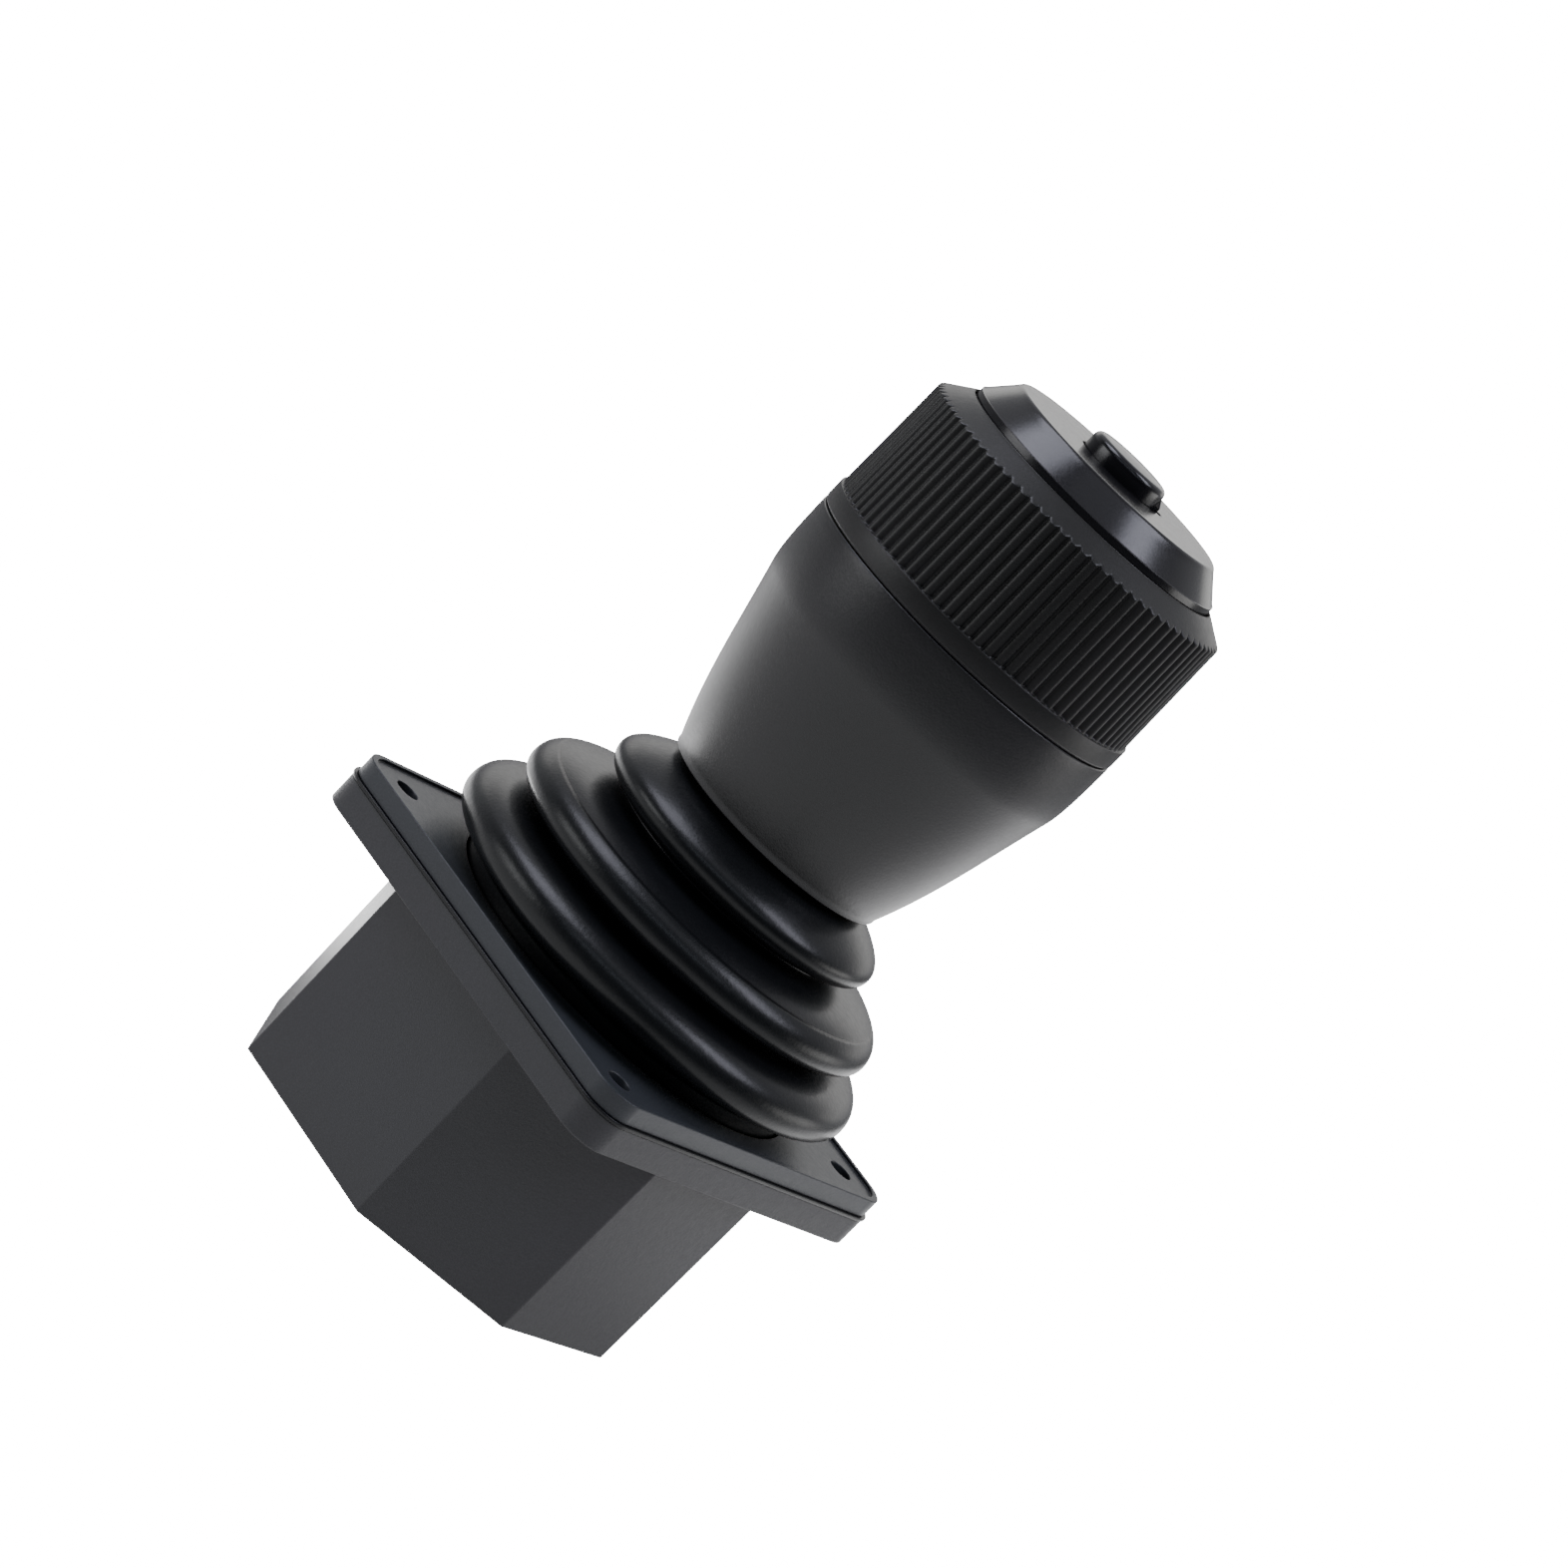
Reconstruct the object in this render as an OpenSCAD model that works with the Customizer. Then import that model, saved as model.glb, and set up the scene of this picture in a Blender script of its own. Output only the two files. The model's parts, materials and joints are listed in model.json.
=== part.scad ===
// Panel joystick: three proportional axes and a push button.
// The stick tilts two ways in a gimbal, the ribbed ring on the grip twists,
// and the button on top travels down. All three return to the centre by springs.
// Origin: centre of the mounting holes, on the underside of the flange. +Z runs up the stick.

/* [Mounting flange] */
// Side of the square flange
flange_w = 62; // [60:0.5:70]
// Thickness of the housing flange
flange_t = 4.1; // [3.8:0.1:6]
// Corner radius of the flange
flange_r = 4.6; // [2:0.1:5.5]
// Distance of the mounting holes from the flange's sides
hole_inset = 5.75; // [4.9:0.05:6]
// Diameter of the mounting holes
hole_d = 3.2; // [2.4:0.1:4]

/* [Housing] */
// Width of the octagonal body just under the flange
body_w = 57.4; // [57:0.2:59]
// Draft of each side of the body, from top to bottom
body_draft = 0.4; // [0.1:0.1:0.6]
// Width of the front and back faces
front_face_w = 27.6; // [25:0.2:30]
// Width of the left and right faces
side_face_w = 21.6; // [20:0.2:25]
// Depth of the body below the flange
body_depth = 27.7; // [27.7:0.1:36]
// Wall thickness of the housing
wall = 2.2; // [1.6:0.1:2.4]
// Thickness of the bottom cover
cover_t = 2; // [1.5:0.1:3]
// Width of the rebate that the bottom cover sits in
rebate_w = 1.1; // [0.8:0.1:1.3]
// Radius of the four corner posts inside the housing
post_r = 3; // [2.4:0.1:3.4]

/* [Bezel] */
// Height of the bezel above the gaiter sheet
bezel_t = 2.65; // [2:0.05:4]
// How far the bezel stays inside the flange on each side
bezel_inset = 0.25; // [0:0.05:1]
// Height of the bezel's raised lip
lip_h = 0.4; // [0.2:0.05:0.8]
// Width of the bezel's raised lip
lip_w = 0.95; // [0.6:0.05:1.6]

/* [Gaiter] */
// Thickness of the rubber folds
gaiter_t = 1; // [0.8:0.1:1.2]
// Thickness of the sheet that is clamped under the bezel
sheet_t = 0.45; // [0.3:0.05:0.8]
// How far the sheet stands out beyond the flange
sheet_over = 0.2; // [0:0.05:0.5]
// Outer radius of the gaiter where it leaves the bezel
gaiter_base_r = 25.8; // [25:0.1:26.4]
// Radius of the lowest fold
lower_fold_r = 31.2; // [29:0.1:32]
// Height of the lowest fold above the flange's underside
lower_fold_z = 12.4; // [11.8:0.1:13]
// Radius of the middle fold
middle_fold_r = 27.7; // [26:0.1:29]
// Height of the middle fold
middle_fold_z = 19.9; // [19.4:0.1:20.6]
// Radius of the upper fold
upper_fold_r = 20.8; // [20:0.1:22]
// Height of the upper fold
upper_fold_z = 28.1; // [27.6:0.1:28.4]

/* [Gimbal] */
// Depth of the tilt axes below the flange's underside
pivot_depth = 7.5; // [7.2:0.1:8]
// Largest tilt of the stick to each side, in degrees
tilt_max = 20; // [10:1:20]
// Diameter of the pivot pins
pin_d = 4; // [3.2:0.1:4.2]
// Radius of the ball at the stick's lower end
ball_r = 8.6; // [8:0.1:8.8]
// Diameter of the stick's shaft
shaft_d = 8; // [7:0.1:9]
// Diameter of the wire of the return springs
spring_wire = 0.8; // [0.6:0.05:1]

/* [Grip] */
// Height of the grip's lower rim above the flange's underside
grip_z = 33.3; // [33.2:0.1:36]
// Height of the grip body, from rim to ring
grip_h = 33.6; // [32:0.1:40]
// Radius of the grip at its lower rim
grip_foot_r = 16.2; // [15.6:0.1:17]
// Radius of the grip at its upper end
grip_top_r = 23.4; // [23:0.1:26]
// Wall thickness of the grip
grip_wall = 3; // [2.4:0.1:3.2]

/* [Twist ring] */
// Height of the twist ring
ring_h = 21.1; // [20.6:0.1:24]
// Number of ribs round the ring
rib_count = 86; // [60:1:100]
// Depth of the grooves between the ribs
rib_depth = 0.9; // [0.5:0.05:1]
// Height of the smooth band under the ribs
band_h = 2.6; // [1.6:0.1:4]
// Twist of the ring to each side, in degrees
twist_max = 35; // [20:1:35]

/* [Cap and button] */
// Radius of the cap's lip
cap_r = 18.85; // [18.4:0.05:19.4]
// Height of the cap above the ring
cap_h = 4.5; // [4:0.1:6]
// Radius of the push button
button_r = 5.6; // [4.6:0.1:6.2]
// Height of the button above the cap
button_h = 2.7; // [2:0.1:4]
// Travel of the push button
button_travel = 1.2; // [0.6:0.1:1.4]

/* [Connector] */
// Number of contacts in each of the two rows
contacts = 5; // [3:1:6]
// Distance between contacts
contact_pitch = 2; // [1.8:0.1:2.2]

/* [Hidden] */

$fn = 96;
eps = 0.01;

// clearances
moving_gap = 0.3;   // between pieces that move past each other
run_gap = 0.04;     // radial, between a pin and its bush
slip_gap = 0.15;    // between a loose piece and the recess that holds it

// colours
body_black = "#3f4044";
satin_black = "#2f3439";
rubber_black = "#26282b";
grip_black = "#3c3c3f";
gloss_black = "#1b1c20";
steel = "#b9bcc0";
bronze = "#b08d57";
board_green = "#1f5c3a";
acetal = "#e6e3da";
chip_black = "#222222";

hole_pitch = flange_w - 2 * hole_inset;   // between the mounting holes, centre to centre

// screws: radius of the shank, [radius, height] of the head, depth in its own hole
screw_r = 1;
cover_screw_r = 1.2;
screw_slip_r = 1.35;
screw_thread = 7;
screw_grip = 5.5;
frame_head = [2.3, 1.3];
cover_head = [2.1, 1.2];
core_head = [1.9, 1.6];
head_gap = 0.2;

// heights of the clamped stack
sheet_z = flange_t;
bezel_z = sheet_z + sheet_t;
bezel_top = bezel_z + bezel_t;

// valleys of the gaiter: how deep and how far below the next fold each one lies
fold_depth = [8.9, 10.8];
fold_drop = [2.6, 2.8];

// gimbal frame, which sits in a round recess in the flange
frame_t = 2.2;
frame_z = flange_t - frame_t;
frame_r = 25.3;
frame_open_r = 13;
ledge_r = 22;
gate_t = 1.2;
gate_r = 14.5;
post_place = 16.3;   // x and y of the four posts
post_web = 2;        // rib that ties a post to the wall behind it
pivot_z = -pivot_depth;
pin_r = pin_d / 2;
bush_r = pin_r + 1;
bush_flange_r = bush_r + 0.9;
bush_flange_t = 0.8;
ear_x = 15;          // inner face of the frame's ears
ear_t = 3.4;
ear_w = 10;

// gimbal ring and the return springs beside it
ring_in_r = ball_r + 0.7;
ring_out_r = 13.2;
ring_tall = 8;
ring_face = ear_x - bush_flange_t - moving_gap;   // outer face of the ring's side bosses
unit_boss_r = pin_r + moving_gap + 0.8;
unit_boss_l = 3.6;
unit_web = 1.5;      // how far the tab's web reaches into the gimbal ring
coil_r = unit_boss_r + 0.1 + spring_wire / 2;
coil_out_r = coil_r + spring_wire / 2;
tab_w = coil_r - spring_wire / 2 - 0.05;   // half width of the tabs between the legs
fixed_tab = [coil_out_r + moving_gap, coil_out_r + moving_gap + 1];
fixed_sweep_r = norm([fixed_tab[1], tab_w]);      // circle round the fixed tab's corners
lever_tab = [fixed_sweep_r + moving_gap, fixed_sweep_r + moving_gap + 1.2];
leg_l = lever_tab[1] + 0.4;
lever_u = unit_boss_l + 0.4;
lever_t = 1.5;
unit_reach = ring_face + lever_u + lever_t;   // outer end of the spring unit on the gimbal ring
lever_room = 8.5;    // half width of the slots that let the spring units pass the ledge
lever_sweep_r = norm([lever_tab[1], tab_w]);      // circle that the lever's tip stays in

// bottom of the stick, board and connector
shaft_r = shaft_d / 2;
shaft_foot = 5.5;    // reach of the shaft below the tilt axes
ball_neck = 9;       // height of the ball's sleeve above the axes
sleeve_wall = 1.2;
magnet_r = 2;
magnet_h = 2;
magnet_seat = 0.3;
wire_bore_r = 1.6;   // hollow of the shaft, for the wires of the grip
board_t = 1.6;
board_top = pivot_z - ball_r - 0.4;
board_z = board_top - board_t;
cover_z = -body_depth;
cover_top = cover_z + cover_t;
conn_y = -19;
conn_wall = 1;
conn_base = 1.3;
conn_in = [contacts * contact_pitch + 4, contact_pitch + 3.2];
pin_len = 4;
pin_w = 0.5;

// grip, from the rim up
grip_top = grip_z + grip_h;
hub_r = shaft_r + 4;
hub_z = grip_z + 3.6;
pocket_top = grip_z + 9.2;
floor_top = pocket_top + 2;
collar_h = 2;
shaft_top = floor_top + 9;
washer_t = 0.8;
nut_h = 5;
nut_w = 14.5;
core_z = grip_top - 4.6;
core_t = 2.2;
core_r = grip_top_r - grip_wall - 0.3;
core_screw_r = core_r - core_head[0] - moving_gap;
core_screw_at = [60, 180, 300];
flange_button_r = button_r + 1.6;
tube_step_r = flange_button_r + 0.4;
tube_in_r = tube_step_r + 1.2;
tube_r = tube_in_r + 1.8;

// twist ring
ring_z = grip_top + moving_gap;
ring_top = grip_top + ring_h + moving_gap;
rib_z = ring_z + band_h;
rib_top = ring_top - 2.4;
rib_foot_r = grip_top_r - 0.02;
rib_head_r = rib_foot_r - 0.45;
shoulder_r = cap_r + 0.45;
ring_wall = 2.8;
ring_hub_r = tube_r + 1.6;
web_z = ring_z + 6.8;
web_t = 2.5;
twist_wire = 1;
twist_coil_r = ring_hub_r + moving_gap + twist_wire / 2;
twist_fixed = [twist_coil_r + 0.9, twist_coil_r + 2.1];
twist_moving = [twist_fixed[1] + 0.4, twist_fixed[1] + 1.8];
twist_tab_w = 2.2;
stop_h = 2.5;
stop_w = 2;
stop_at = twist_max + asin((twist_tab_w + moving_gap) / twist_moving[0]);
sensor_at = 120;
magnet_at_r = twist_coil_r + 3.2;
magnet_wall = 0.5;
magnet_z = core_z + core_t + 3.1;

// cap and button
cap_z = ring_top;
cap_top = cap_z + cap_h;
cap_wall = 1.6;
cap_skirt = 1.5;
cap_round = 0.7;
cap_cone_in = 3.2;
cap_seat = 1.2;
tube_top = cap_z + cap_seat;
key_at = 30;
key_w = 1;
key_out = 0.6;
button_top = cap_top + button_h;
button_dome = 0.3;
button_edge = 0.6;
flange_button_t = 1.2;
flange_button_z = cap_top - cap_wall - moving_gap - flange_button_t;
stem_r = 2.5;
seat_z = flange_button_z - 6.4;
stem_z = seat_z + button_travel + 0.2;
holder_h = 4.2;
button_board_z = seat_z - holder_h - board_t;
switch_w = 6;
plunger_r = 1.4;
plunger_l = 3.4;

// ---------- functions ----------

function unit(v) = v / norm(v);

// cubic curve through four control points
function bezier(p, t) =
    pow(1 - t, 3) * p[0] + 3 * pow(1 - t, 2) * t * p[1] + 3 * (1 - t) * t * t * p[2]
    + t * t * t * p[3];
function bezier_slope(p, t) =
    pow(1 - t, 2) * (p[1] - p[0]) + 2 * (1 - t) * t * (p[2] - p[1]) + t * t * (p[3] - p[2]);

// points of a curve, moved sideways by a distance d (positive to the right of travel)
function beside(p, t, d) =
    let (s = unit(bezier_slope(p, t))) bezier(p, t) + d * [s[1], -s[0]];
function side_points(curves, d, n) = [
    for (c = curves) for (i = [1 : n]) beside(c, i / n, d)
];

// outline of the octagonal body: half width, half widths of the flat faces
function octagon(h, fx, fy) = [
    [fx, h], [h, fy], [h, -fy], [fx, -h], [-fx, -h], [-h, -fy], [-h, fy], [-fx, h]
];

// the same outline, moved inwards by a wall
function octagon_inset(h, fx, fy, w) =
    let (
        l = norm([h - fy, h - fx]),
        nx = (h - fy) / l,
        ny = (h - fx) / l,
        c = nx * fx + ny * h - w
    ) octagon(h - w, (c - ny * (h - w)) / nx, (c - nx * (h - w)) / ny);

// half width of the drafted body at height z (0 or below)
function body_half(z) = body_w / 2 + body_draft * z / body_depth;

// torsion spring round Z: both straight legs leave along +X, one at each end of the coil
function torsion_path(r, wire_d, turns, leg) =
    let (sweep = 180 + 360 * turns, steps = ceil(sweep / 22.5), pitch = wire_d * 1.15)
    concat(
        [[leg, -r, wire_d / 2]],
        [for (i = [0 : steps])
            let (a = sweep * i / steps)
            [r * cos(-90 - a), r * sin(-90 - a), wire_d / 2 + pitch * a / 360]],
        [[leg, r, wire_d / 2 + pitch * sweep / 360]]
    );

// compression spring between two seats, with its end coils closed
function compression_path(r, wire_d, z0, z1, turns) = [
    for (i = [0 : turns * 16])
        let (t = i / (turns * 16), rise = t - sin(360 * t) / 360 * 50)
        [r * cos(360 * turns * t), r * sin(360 * turns * t),
         z0 + wire_d / 2 + (z1 - z0 - wire_d) * rise]
];

// ---------- shapes used by several pieces ----------

module rounded_square(w, r) {
    square([w - 2 * r, w], center = true);
    square([w, w - 2 * r], center = true);
    for (x = [-1, 1], y = [-1, 1])
        translate([x * (w / 2 - r), y * (w / 2 - r)])
            circle(r, $fn = 48);
}

module at_mount_holes() {
    for (x = [-1, 1], y = [-1, 1])
        translate([x * hole_pitch / 2, y * hole_pitch / 2, 0])
            children();
}

module at_posts() {
    for (a = [0 : 90 : 270])
        rotate(a)
            translate([post_place, post_place, 0])
                children();
}

module body_slice(z, inset) {
    translate([0, 0, z])
        linear_extrude(eps)
            polygon(octagon_inset(body_half(z), front_face_w / 2, side_face_w / 2, inset));
}

// a drafted octagonal block between two heights
module body_block(z0, z1, inset) {
    hull() {
        body_slice(z0, inset);
        body_slice(z1 - eps, inset);
    }
}

module ring_of(r_out, r_in, h) {
    difference() {
        cylinder(r = r_out, h = h);
        translate([0, 0, -1])
            cylinder(r = r_in, h = h + 2);
    }
}

// round wire along a path; up is a direction that the path never follows
module wire(path, r, up = [0, 0, 1], sides = 8) {
    n = len(path);
    points = [
        for (i = [0 : n - 1])
            let (
                t = unit(path[min(i + 1, n - 1)] - path[max(i - 1, 0)]),
                u = unit(up - (up * t) * t),
                v = cross(t, u)
            )
            for (k = [0 : sides - 1])
                path[i] + r * (cos(360 * k / sides) * u + sin(360 * k / sides) * v)
    ];
    sides_faces = [
        for (i = [0 : n - 2], k = [0 : sides - 1])
            let (a = i * sides + k, b = i * sides + (k + 1) % sides)
            [a, a + sides, b + sides, b]
    ];
    ends = [
        [for (k = [0 : sides - 1]) k],
        [for (k = [sides - 1 : -1 : 0]) (n - 1) * sides + k]
    ];
    polyhedron(points, concat(sides_faces, ends), convexity = 8);
}

// room for the spring unit on the gimbal ring, which swings up into the frame
// and down through the board; half is its half width, deep how far it stands off the axis
module unit_window(z0, h, half, deep) {
    near = (ring_out_r - unit_web) * cos(tilt_max) - deep * sin(tilt_max) - moving_gap;
    far = unit_reach * cos(tilt_max) + moving_gap;
    translate([-half, near, z0])
        cube([2 * half, far - near, h]);
}

module hex_socket_screw(head, shank_r, length) {
    difference() {
        union() {
            cylinder(r = head[0], h = head[1]);
            translate([0, 0, -length])
                cylinder(r = shank_r, h = length + eps);
        }
        translate([0, 0, head[1] * 0.45])
            cylinder(r = head[0] * 0.5, h = head[1], $fn = 6);
    }
}

// places a return spring unit: local Z is the tilt axis, local X points down along the legs
module at_unit_x() {
    translate([ear_x + ear_t, 0, pivot_z])
        rotate([0, 90, 0])
            children();
}

module at_unit_y() {
    translate([0, ring_face, pivot_z])
        rotate([0, 90, 90])
            children();
}

// what stays still in a return spring unit: the boss that the coil sits on, and its tab
module unit_seat() {
    translate([0, 0, -eps])
        cylinder(r = unit_boss_r, h = unit_boss_l + eps);
    translate([fixed_tab[0], -tab_w, -eps])
        cube([fixed_tab[1] - fixed_tab[0], 2 * tab_w, unit_boss_l - 0.2]);
}

module unit_lever() {
    difference() {
        union() {
            translate([0, 0, lever_u])
                cylinder(r = unit_boss_r, h = lever_t);
            translate([0, -unit_boss_r + 0.6, lever_u])
                cube([lever_tab[1], 2 * unit_boss_r - 1.2, lever_t]);
            translate([lever_tab[0], -tab_w, 0.6])
                cube([lever_tab[1] - lever_tab[0], 2 * tab_w, lever_u + lever_t - 0.6]);
        }
        translate([0, 0, lever_u - 1])
            cylinder(r = pin_r, h = lever_t + 2);
    }
}

module unit_spring() {
    translate([0, 0, 0.2])
        wire(torsion_path(coil_r, spring_wire, 2, leg_l), spring_wire / 2);
}

module flanged_bush(length) {
    difference() {
        union() {
            translate([0, 0, -bush_flange_t])
                cylinder(r = bush_r, h = length + bush_flange_t);
            translate([0, 0, -bush_flange_t])
                cylinder(r = bush_flange_r, h = bush_flange_t);
        }
        translate([0, 0, -bush_flange_t - 1])
            cylinder(r = pin_r + run_gap, h = length + bush_flange_t + 2);
    }
}

// ---------- fixed base ----------

module housing() {
    color(body_black)
        difference() {
            union() {
                linear_extrude(flange_t)
                    rounded_square(flange_w, flange_r);
                body_block(-body_depth, eps, 0);
            }
            difference() {
                body_block(-body_depth - 1, 0, wall);
                housing_posts();
            }
            translate([0, 0, frame_z])
                cylinder(r = frame_r + slip_gap, h = frame_t + 1);
            translate([0, 0, -1])
                cylinder(r = ledge_r - 4, h = frame_z + 2);
            for (a = [0 : 90 : 270])
                rotate(a)
                    translate([0, -lever_room, -1])
                        cube([ledge_r + 2.6, 2 * lever_room, frame_z + 2]);
            body_block(-body_depth - 1, cover_top, wall - rebate_w);
            at_mount_holes()
                translate([0, 0, -1])
                    cylinder(d = hole_d, h = flange_t + 2);
            at_posts() {
                translate([0, 0, frame_z - screw_thread])
                    cylinder(r = screw_r, h = screw_thread + 1);
                translate([0, 0, board_top - 1])
                    cylinder(r = cover_screw_r, h = screw_thread + 1);
            }
        }
}

module housing_posts() {
    at_posts() {
        translate([0, 0, board_top])
            cylinder(r = post_r, h = frame_z - board_top);
        rotate(45)
            translate([post_r / 2, -post_web / 2, board_top])
                cube([2 * post_r, post_web, frame_z - board_top]);
    }
}

module bottom_cover() {
    color(body_black)
        difference() {
            union() {
                body_block(cover_z, cover_top, wall - rebate_w + slip_gap);
                at_posts()
                    translate([0, 0, cover_top - eps])
                        cylinder(r = post_r, h = board_z - cover_top + eps);
            }
            translate([0, conn_y, cover_z])
                cube([conn_in[0] + 2 * conn_wall + 2 * slip_gap,
                      conn_in[1] + 2 * conn_wall + 2 * slip_gap, 3 * cover_t], center = true);
            at_posts() {
                translate([0, 0, cover_z - 1])
                    cylinder(r = screw_slip_r, h = board_z - cover_z + 2);
                translate([0, 0, cover_z - 1])
                    cylinder(r = cover_head[0] + head_gap, h = cover_head[1] + head_gap + 1);
            }
        }
}

module cover_screws() {
    color(steel)
        at_posts()
            translate([0, 0, cover_z + cover_head[1] + head_gap])
                mirror([0, 0, 1])
                    hex_socket_screw(cover_head, cover_screw_r, board_top + screw_grip - cover_z - 2);
}

module sensor_board() {
    color(board_green)
        difference() {
            body_block(board_z, board_top, wall + 0.4);
            unit_window(board_z - 1, board_t + 2, lever_sweep_r + moving_gap, lever_sweep_r);
            translate([0, 0, board_z - 1])
                at_posts()
                    cylinder(r = screw_slip_r, h = board_t + 2);
        }
}

module tilt_sensor() {
    color(chip_black)
        translate([0, 0, board_z - 0.5])
            cube([4, 5, 1], center = true);
}

module connector_shell() {
    outer = [conn_in[0] + 2 * conn_wall, conn_in[1] + 2 * conn_wall];
    depth = board_z - cover_z;
    color(gloss_black)
        translate([0, conn_y, 0])
            difference() {
                translate([0, 0, cover_z + depth / 2])
                    cube([outer[0], outer[1], depth], center = true);
                translate([0, 0, cover_z - 1 + (depth - conn_base + 1) / 2])
                    cube([conn_in[0], conn_in[1], depth - conn_base + 1], center = true);
                at_contacts()
                    translate([0, 0, board_z - conn_base / 2])
                        cube([pin_w, pin_w, conn_base + 1], center = true);
            }
}

module at_contacts() {
    for (i = [0 : contacts - 1], row = [-1, 1])
        translate([(i - (contacts - 1) / 2) * contact_pitch, row * contact_pitch / 2, 0])
            children();
}

module connector_pins() {
    color(bronze)
        translate([0, conn_y, board_z - conn_base - pin_len])
            at_contacts()
                translate([0, 0, (conn_base + pin_len) / 2])
                    cube([pin_w, pin_w, conn_base + pin_len], center = true);
}

module gimbal_frame() {
    color(body_black)
        difference() {
            union() {
                translate([0, 0, frame_z])
                    cylinder(r = frame_r, h = frame_t);
                for (side = [0, 180])
                    rotate(side) {
                        translate([ear_x, -ear_w / 2, pivot_z])
                            cube([ear_t, ear_w, frame_z - pivot_z + eps]);
                        translate([ear_x, 0, pivot_z])
                            rotate([0, 90, 0])
                                cylinder(r = ear_w / 2, h = ear_t);
                    }
                translate([ear_x, -tab_w, pivot_z - fixed_tab[1]])
                    cube([ear_t, 2 * tab_w, fixed_tab[1]]);
                at_unit_x()
                    unit_seat();
            }
            translate([0, 0, frame_z - 1])
                cylinder(r = frame_open_r, h = frame_t + 2);
            translate([0, 0, flange_t - gate_t])
                cylinder(r = gate_r + slip_gap, h = gate_t + 1);
            unit_window(frame_z - 1, frame_t + 2, coil_out_r + moving_gap, coil_out_r);
            for (side = [0, 180])
                rotate(side)
                    translate([ear_x - 1, 0, pivot_z])
                        rotate([0, 90, 0])
                            cylinder(r = bush_r, h = ear_t + 1);
            translate([ear_x, 0, pivot_z])
                rotate([0, 90, 0])
                    cylinder(r = pin_r + moving_gap, h = 20);
            at_posts() {
                translate([0, 0, frame_z - 1])
                    cylinder(r = screw_slip_r, h = frame_t + 2);
                translate([0, 0, flange_t - frame_head[1]])
                    cylinder(r1 = screw_r + head_gap, r2 = frame_head[0] + head_gap, h = frame_head[1] + eps);
            }
        }
}

module frame_screws() {
    color(steel)
        at_posts()
            difference() {
                union() {
                    translate([0, 0, flange_t - frame_head[1]])
                        cylinder(r1 = screw_r, r2 = frame_head[0], h = frame_head[1]);
                    translate([0, 0, frame_z - screw_grip])
                        cylinder(r = screw_r, h = screw_grip + frame_t - frame_head[1] + eps);
                }
                translate([0, 0, flange_t - frame_head[1] / 2])
                    cylinder(r = screw_r * 0.8, h = frame_head[1], $fn = 6);
            }
}

module pivot_bushes() {
    color(bronze)
        for (side = [0, 180])
            rotate(side)
                translate([ear_x, 0, pivot_z])
                    rotate([0, 90, 0])
                        flanged_bush(ear_t);
}

module gate_plate() {
    reach = flange_t - pivot_z;
    half = reach * tan(tilt_max) / cos(tilt_max) + shaft_r / cos(tilt_max) + moving_gap;
    color(acetal)
        translate([0, 0, flange_t - gate_t])
            linear_extrude(gate_t)
                difference() {
                    circle(gate_r);
                    rounded_square(2 * half, 2);
                }
}

module bezel() {
    w = flange_w - 2 * bezel_inset;
    r = flange_r - bezel_inset;
    color(satin_black)
        translate([0, 0, bezel_z])
            difference() {
                linear_extrude(bezel_t)
                    rounded_square(w, r);
                translate([0, 0, bezel_t - lip_h])
                    linear_extrude(lip_h + 1)
                        rounded_square(w - 2 * lip_w, r - lip_w);
                translate([0, 0, -1])
                    cylinder(r = gaiter_base_r + moving_gap, h = bezel_t + 2);
                at_mount_holes()
                    translate([0, 0, -1])
                        cylinder(d = hole_d, h = bezel_t + 2);
            }
}

// centre line of the folded rubber, from the sheet up to the neck, as joined curves
function gaiter_curves() =
    let (
        half = gaiter_t / 2,
        base = [gaiter_base_r - half, bezel_top + 1.2],
        tip1 = [lower_fold_r - half, lower_fold_z],
        tip2 = [middle_fold_r - half, middle_fold_z],
        tip3 = [upper_fold_r - half, upper_fold_z],
        valley1 = [lower_fold_r - fold_depth[0], middle_fold_z - fold_drop[0]],
        valley2 = [middle_fold_r - fold_depth[1], upper_fold_z - fold_drop[1]],
        neck = [hub_r + half, hub_z + 0.6]
    ) [
        [base, base + [0, 2], tip1 - [0, 2.8], tip1],
        [tip1, tip1 + [0, 4.9], valley1 - [0, 2.1], valley1],
        [valley1, valley1 + [0, 1.6], tip2 - [0, 2.5], tip2],
        [tip2, tip2 + [0, 4.7], valley2 - [0, 2.1], valley2],
        [valley2, valley2 + [0, 1.4], tip3 - [0, 2.4], tip3],
        [tip3, tip3 + [0, 2.8], neck - [0, 4.2], neck]
    ];

module gaiter() {
    curves = gaiter_curves();
    half = gaiter_t / 2;
    neck_top = pocket_top - 1;
    outer = side_points(curves, half, 8);
    inner = side_points(curves, -half, 8);
    base_r = gaiter_base_r;
    color(rubber_black) {
        difference() {
            union() {
                translate([0, 0, sheet_z])
                    linear_extrude(sheet_t)
                        rounded_square(flange_w + 2 * sheet_over, flange_r + sheet_over);
            }
            translate([0, 0, sheet_z - 1])
                cylinder(r = base_r - half, h = sheet_t + 2);
            at_mount_holes()
                translate([0, 0, sheet_z - 1])
                    cylinder(d = hole_d, h = sheet_t + 2);
        }
        rotate_extrude()
            polygon(concat(
                [[base_r - gaiter_t, sheet_z], [base_r, sheet_z], [base_r, bezel_top + 1.2]],
                outer,
                [[hub_r + gaiter_t, neck_top - 1.4], [hub_r + 2 * gaiter_t, neck_top - 1],
                 [hub_r + 2 * gaiter_t, neck_top], [hub_r, neck_top]],
                [for (i = [len(inner) - 1 : -1 : 0]) inner[i]],
                [[base_r - gaiter_t, bezel_top + 1.2]]
            ));
    }
}

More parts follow.
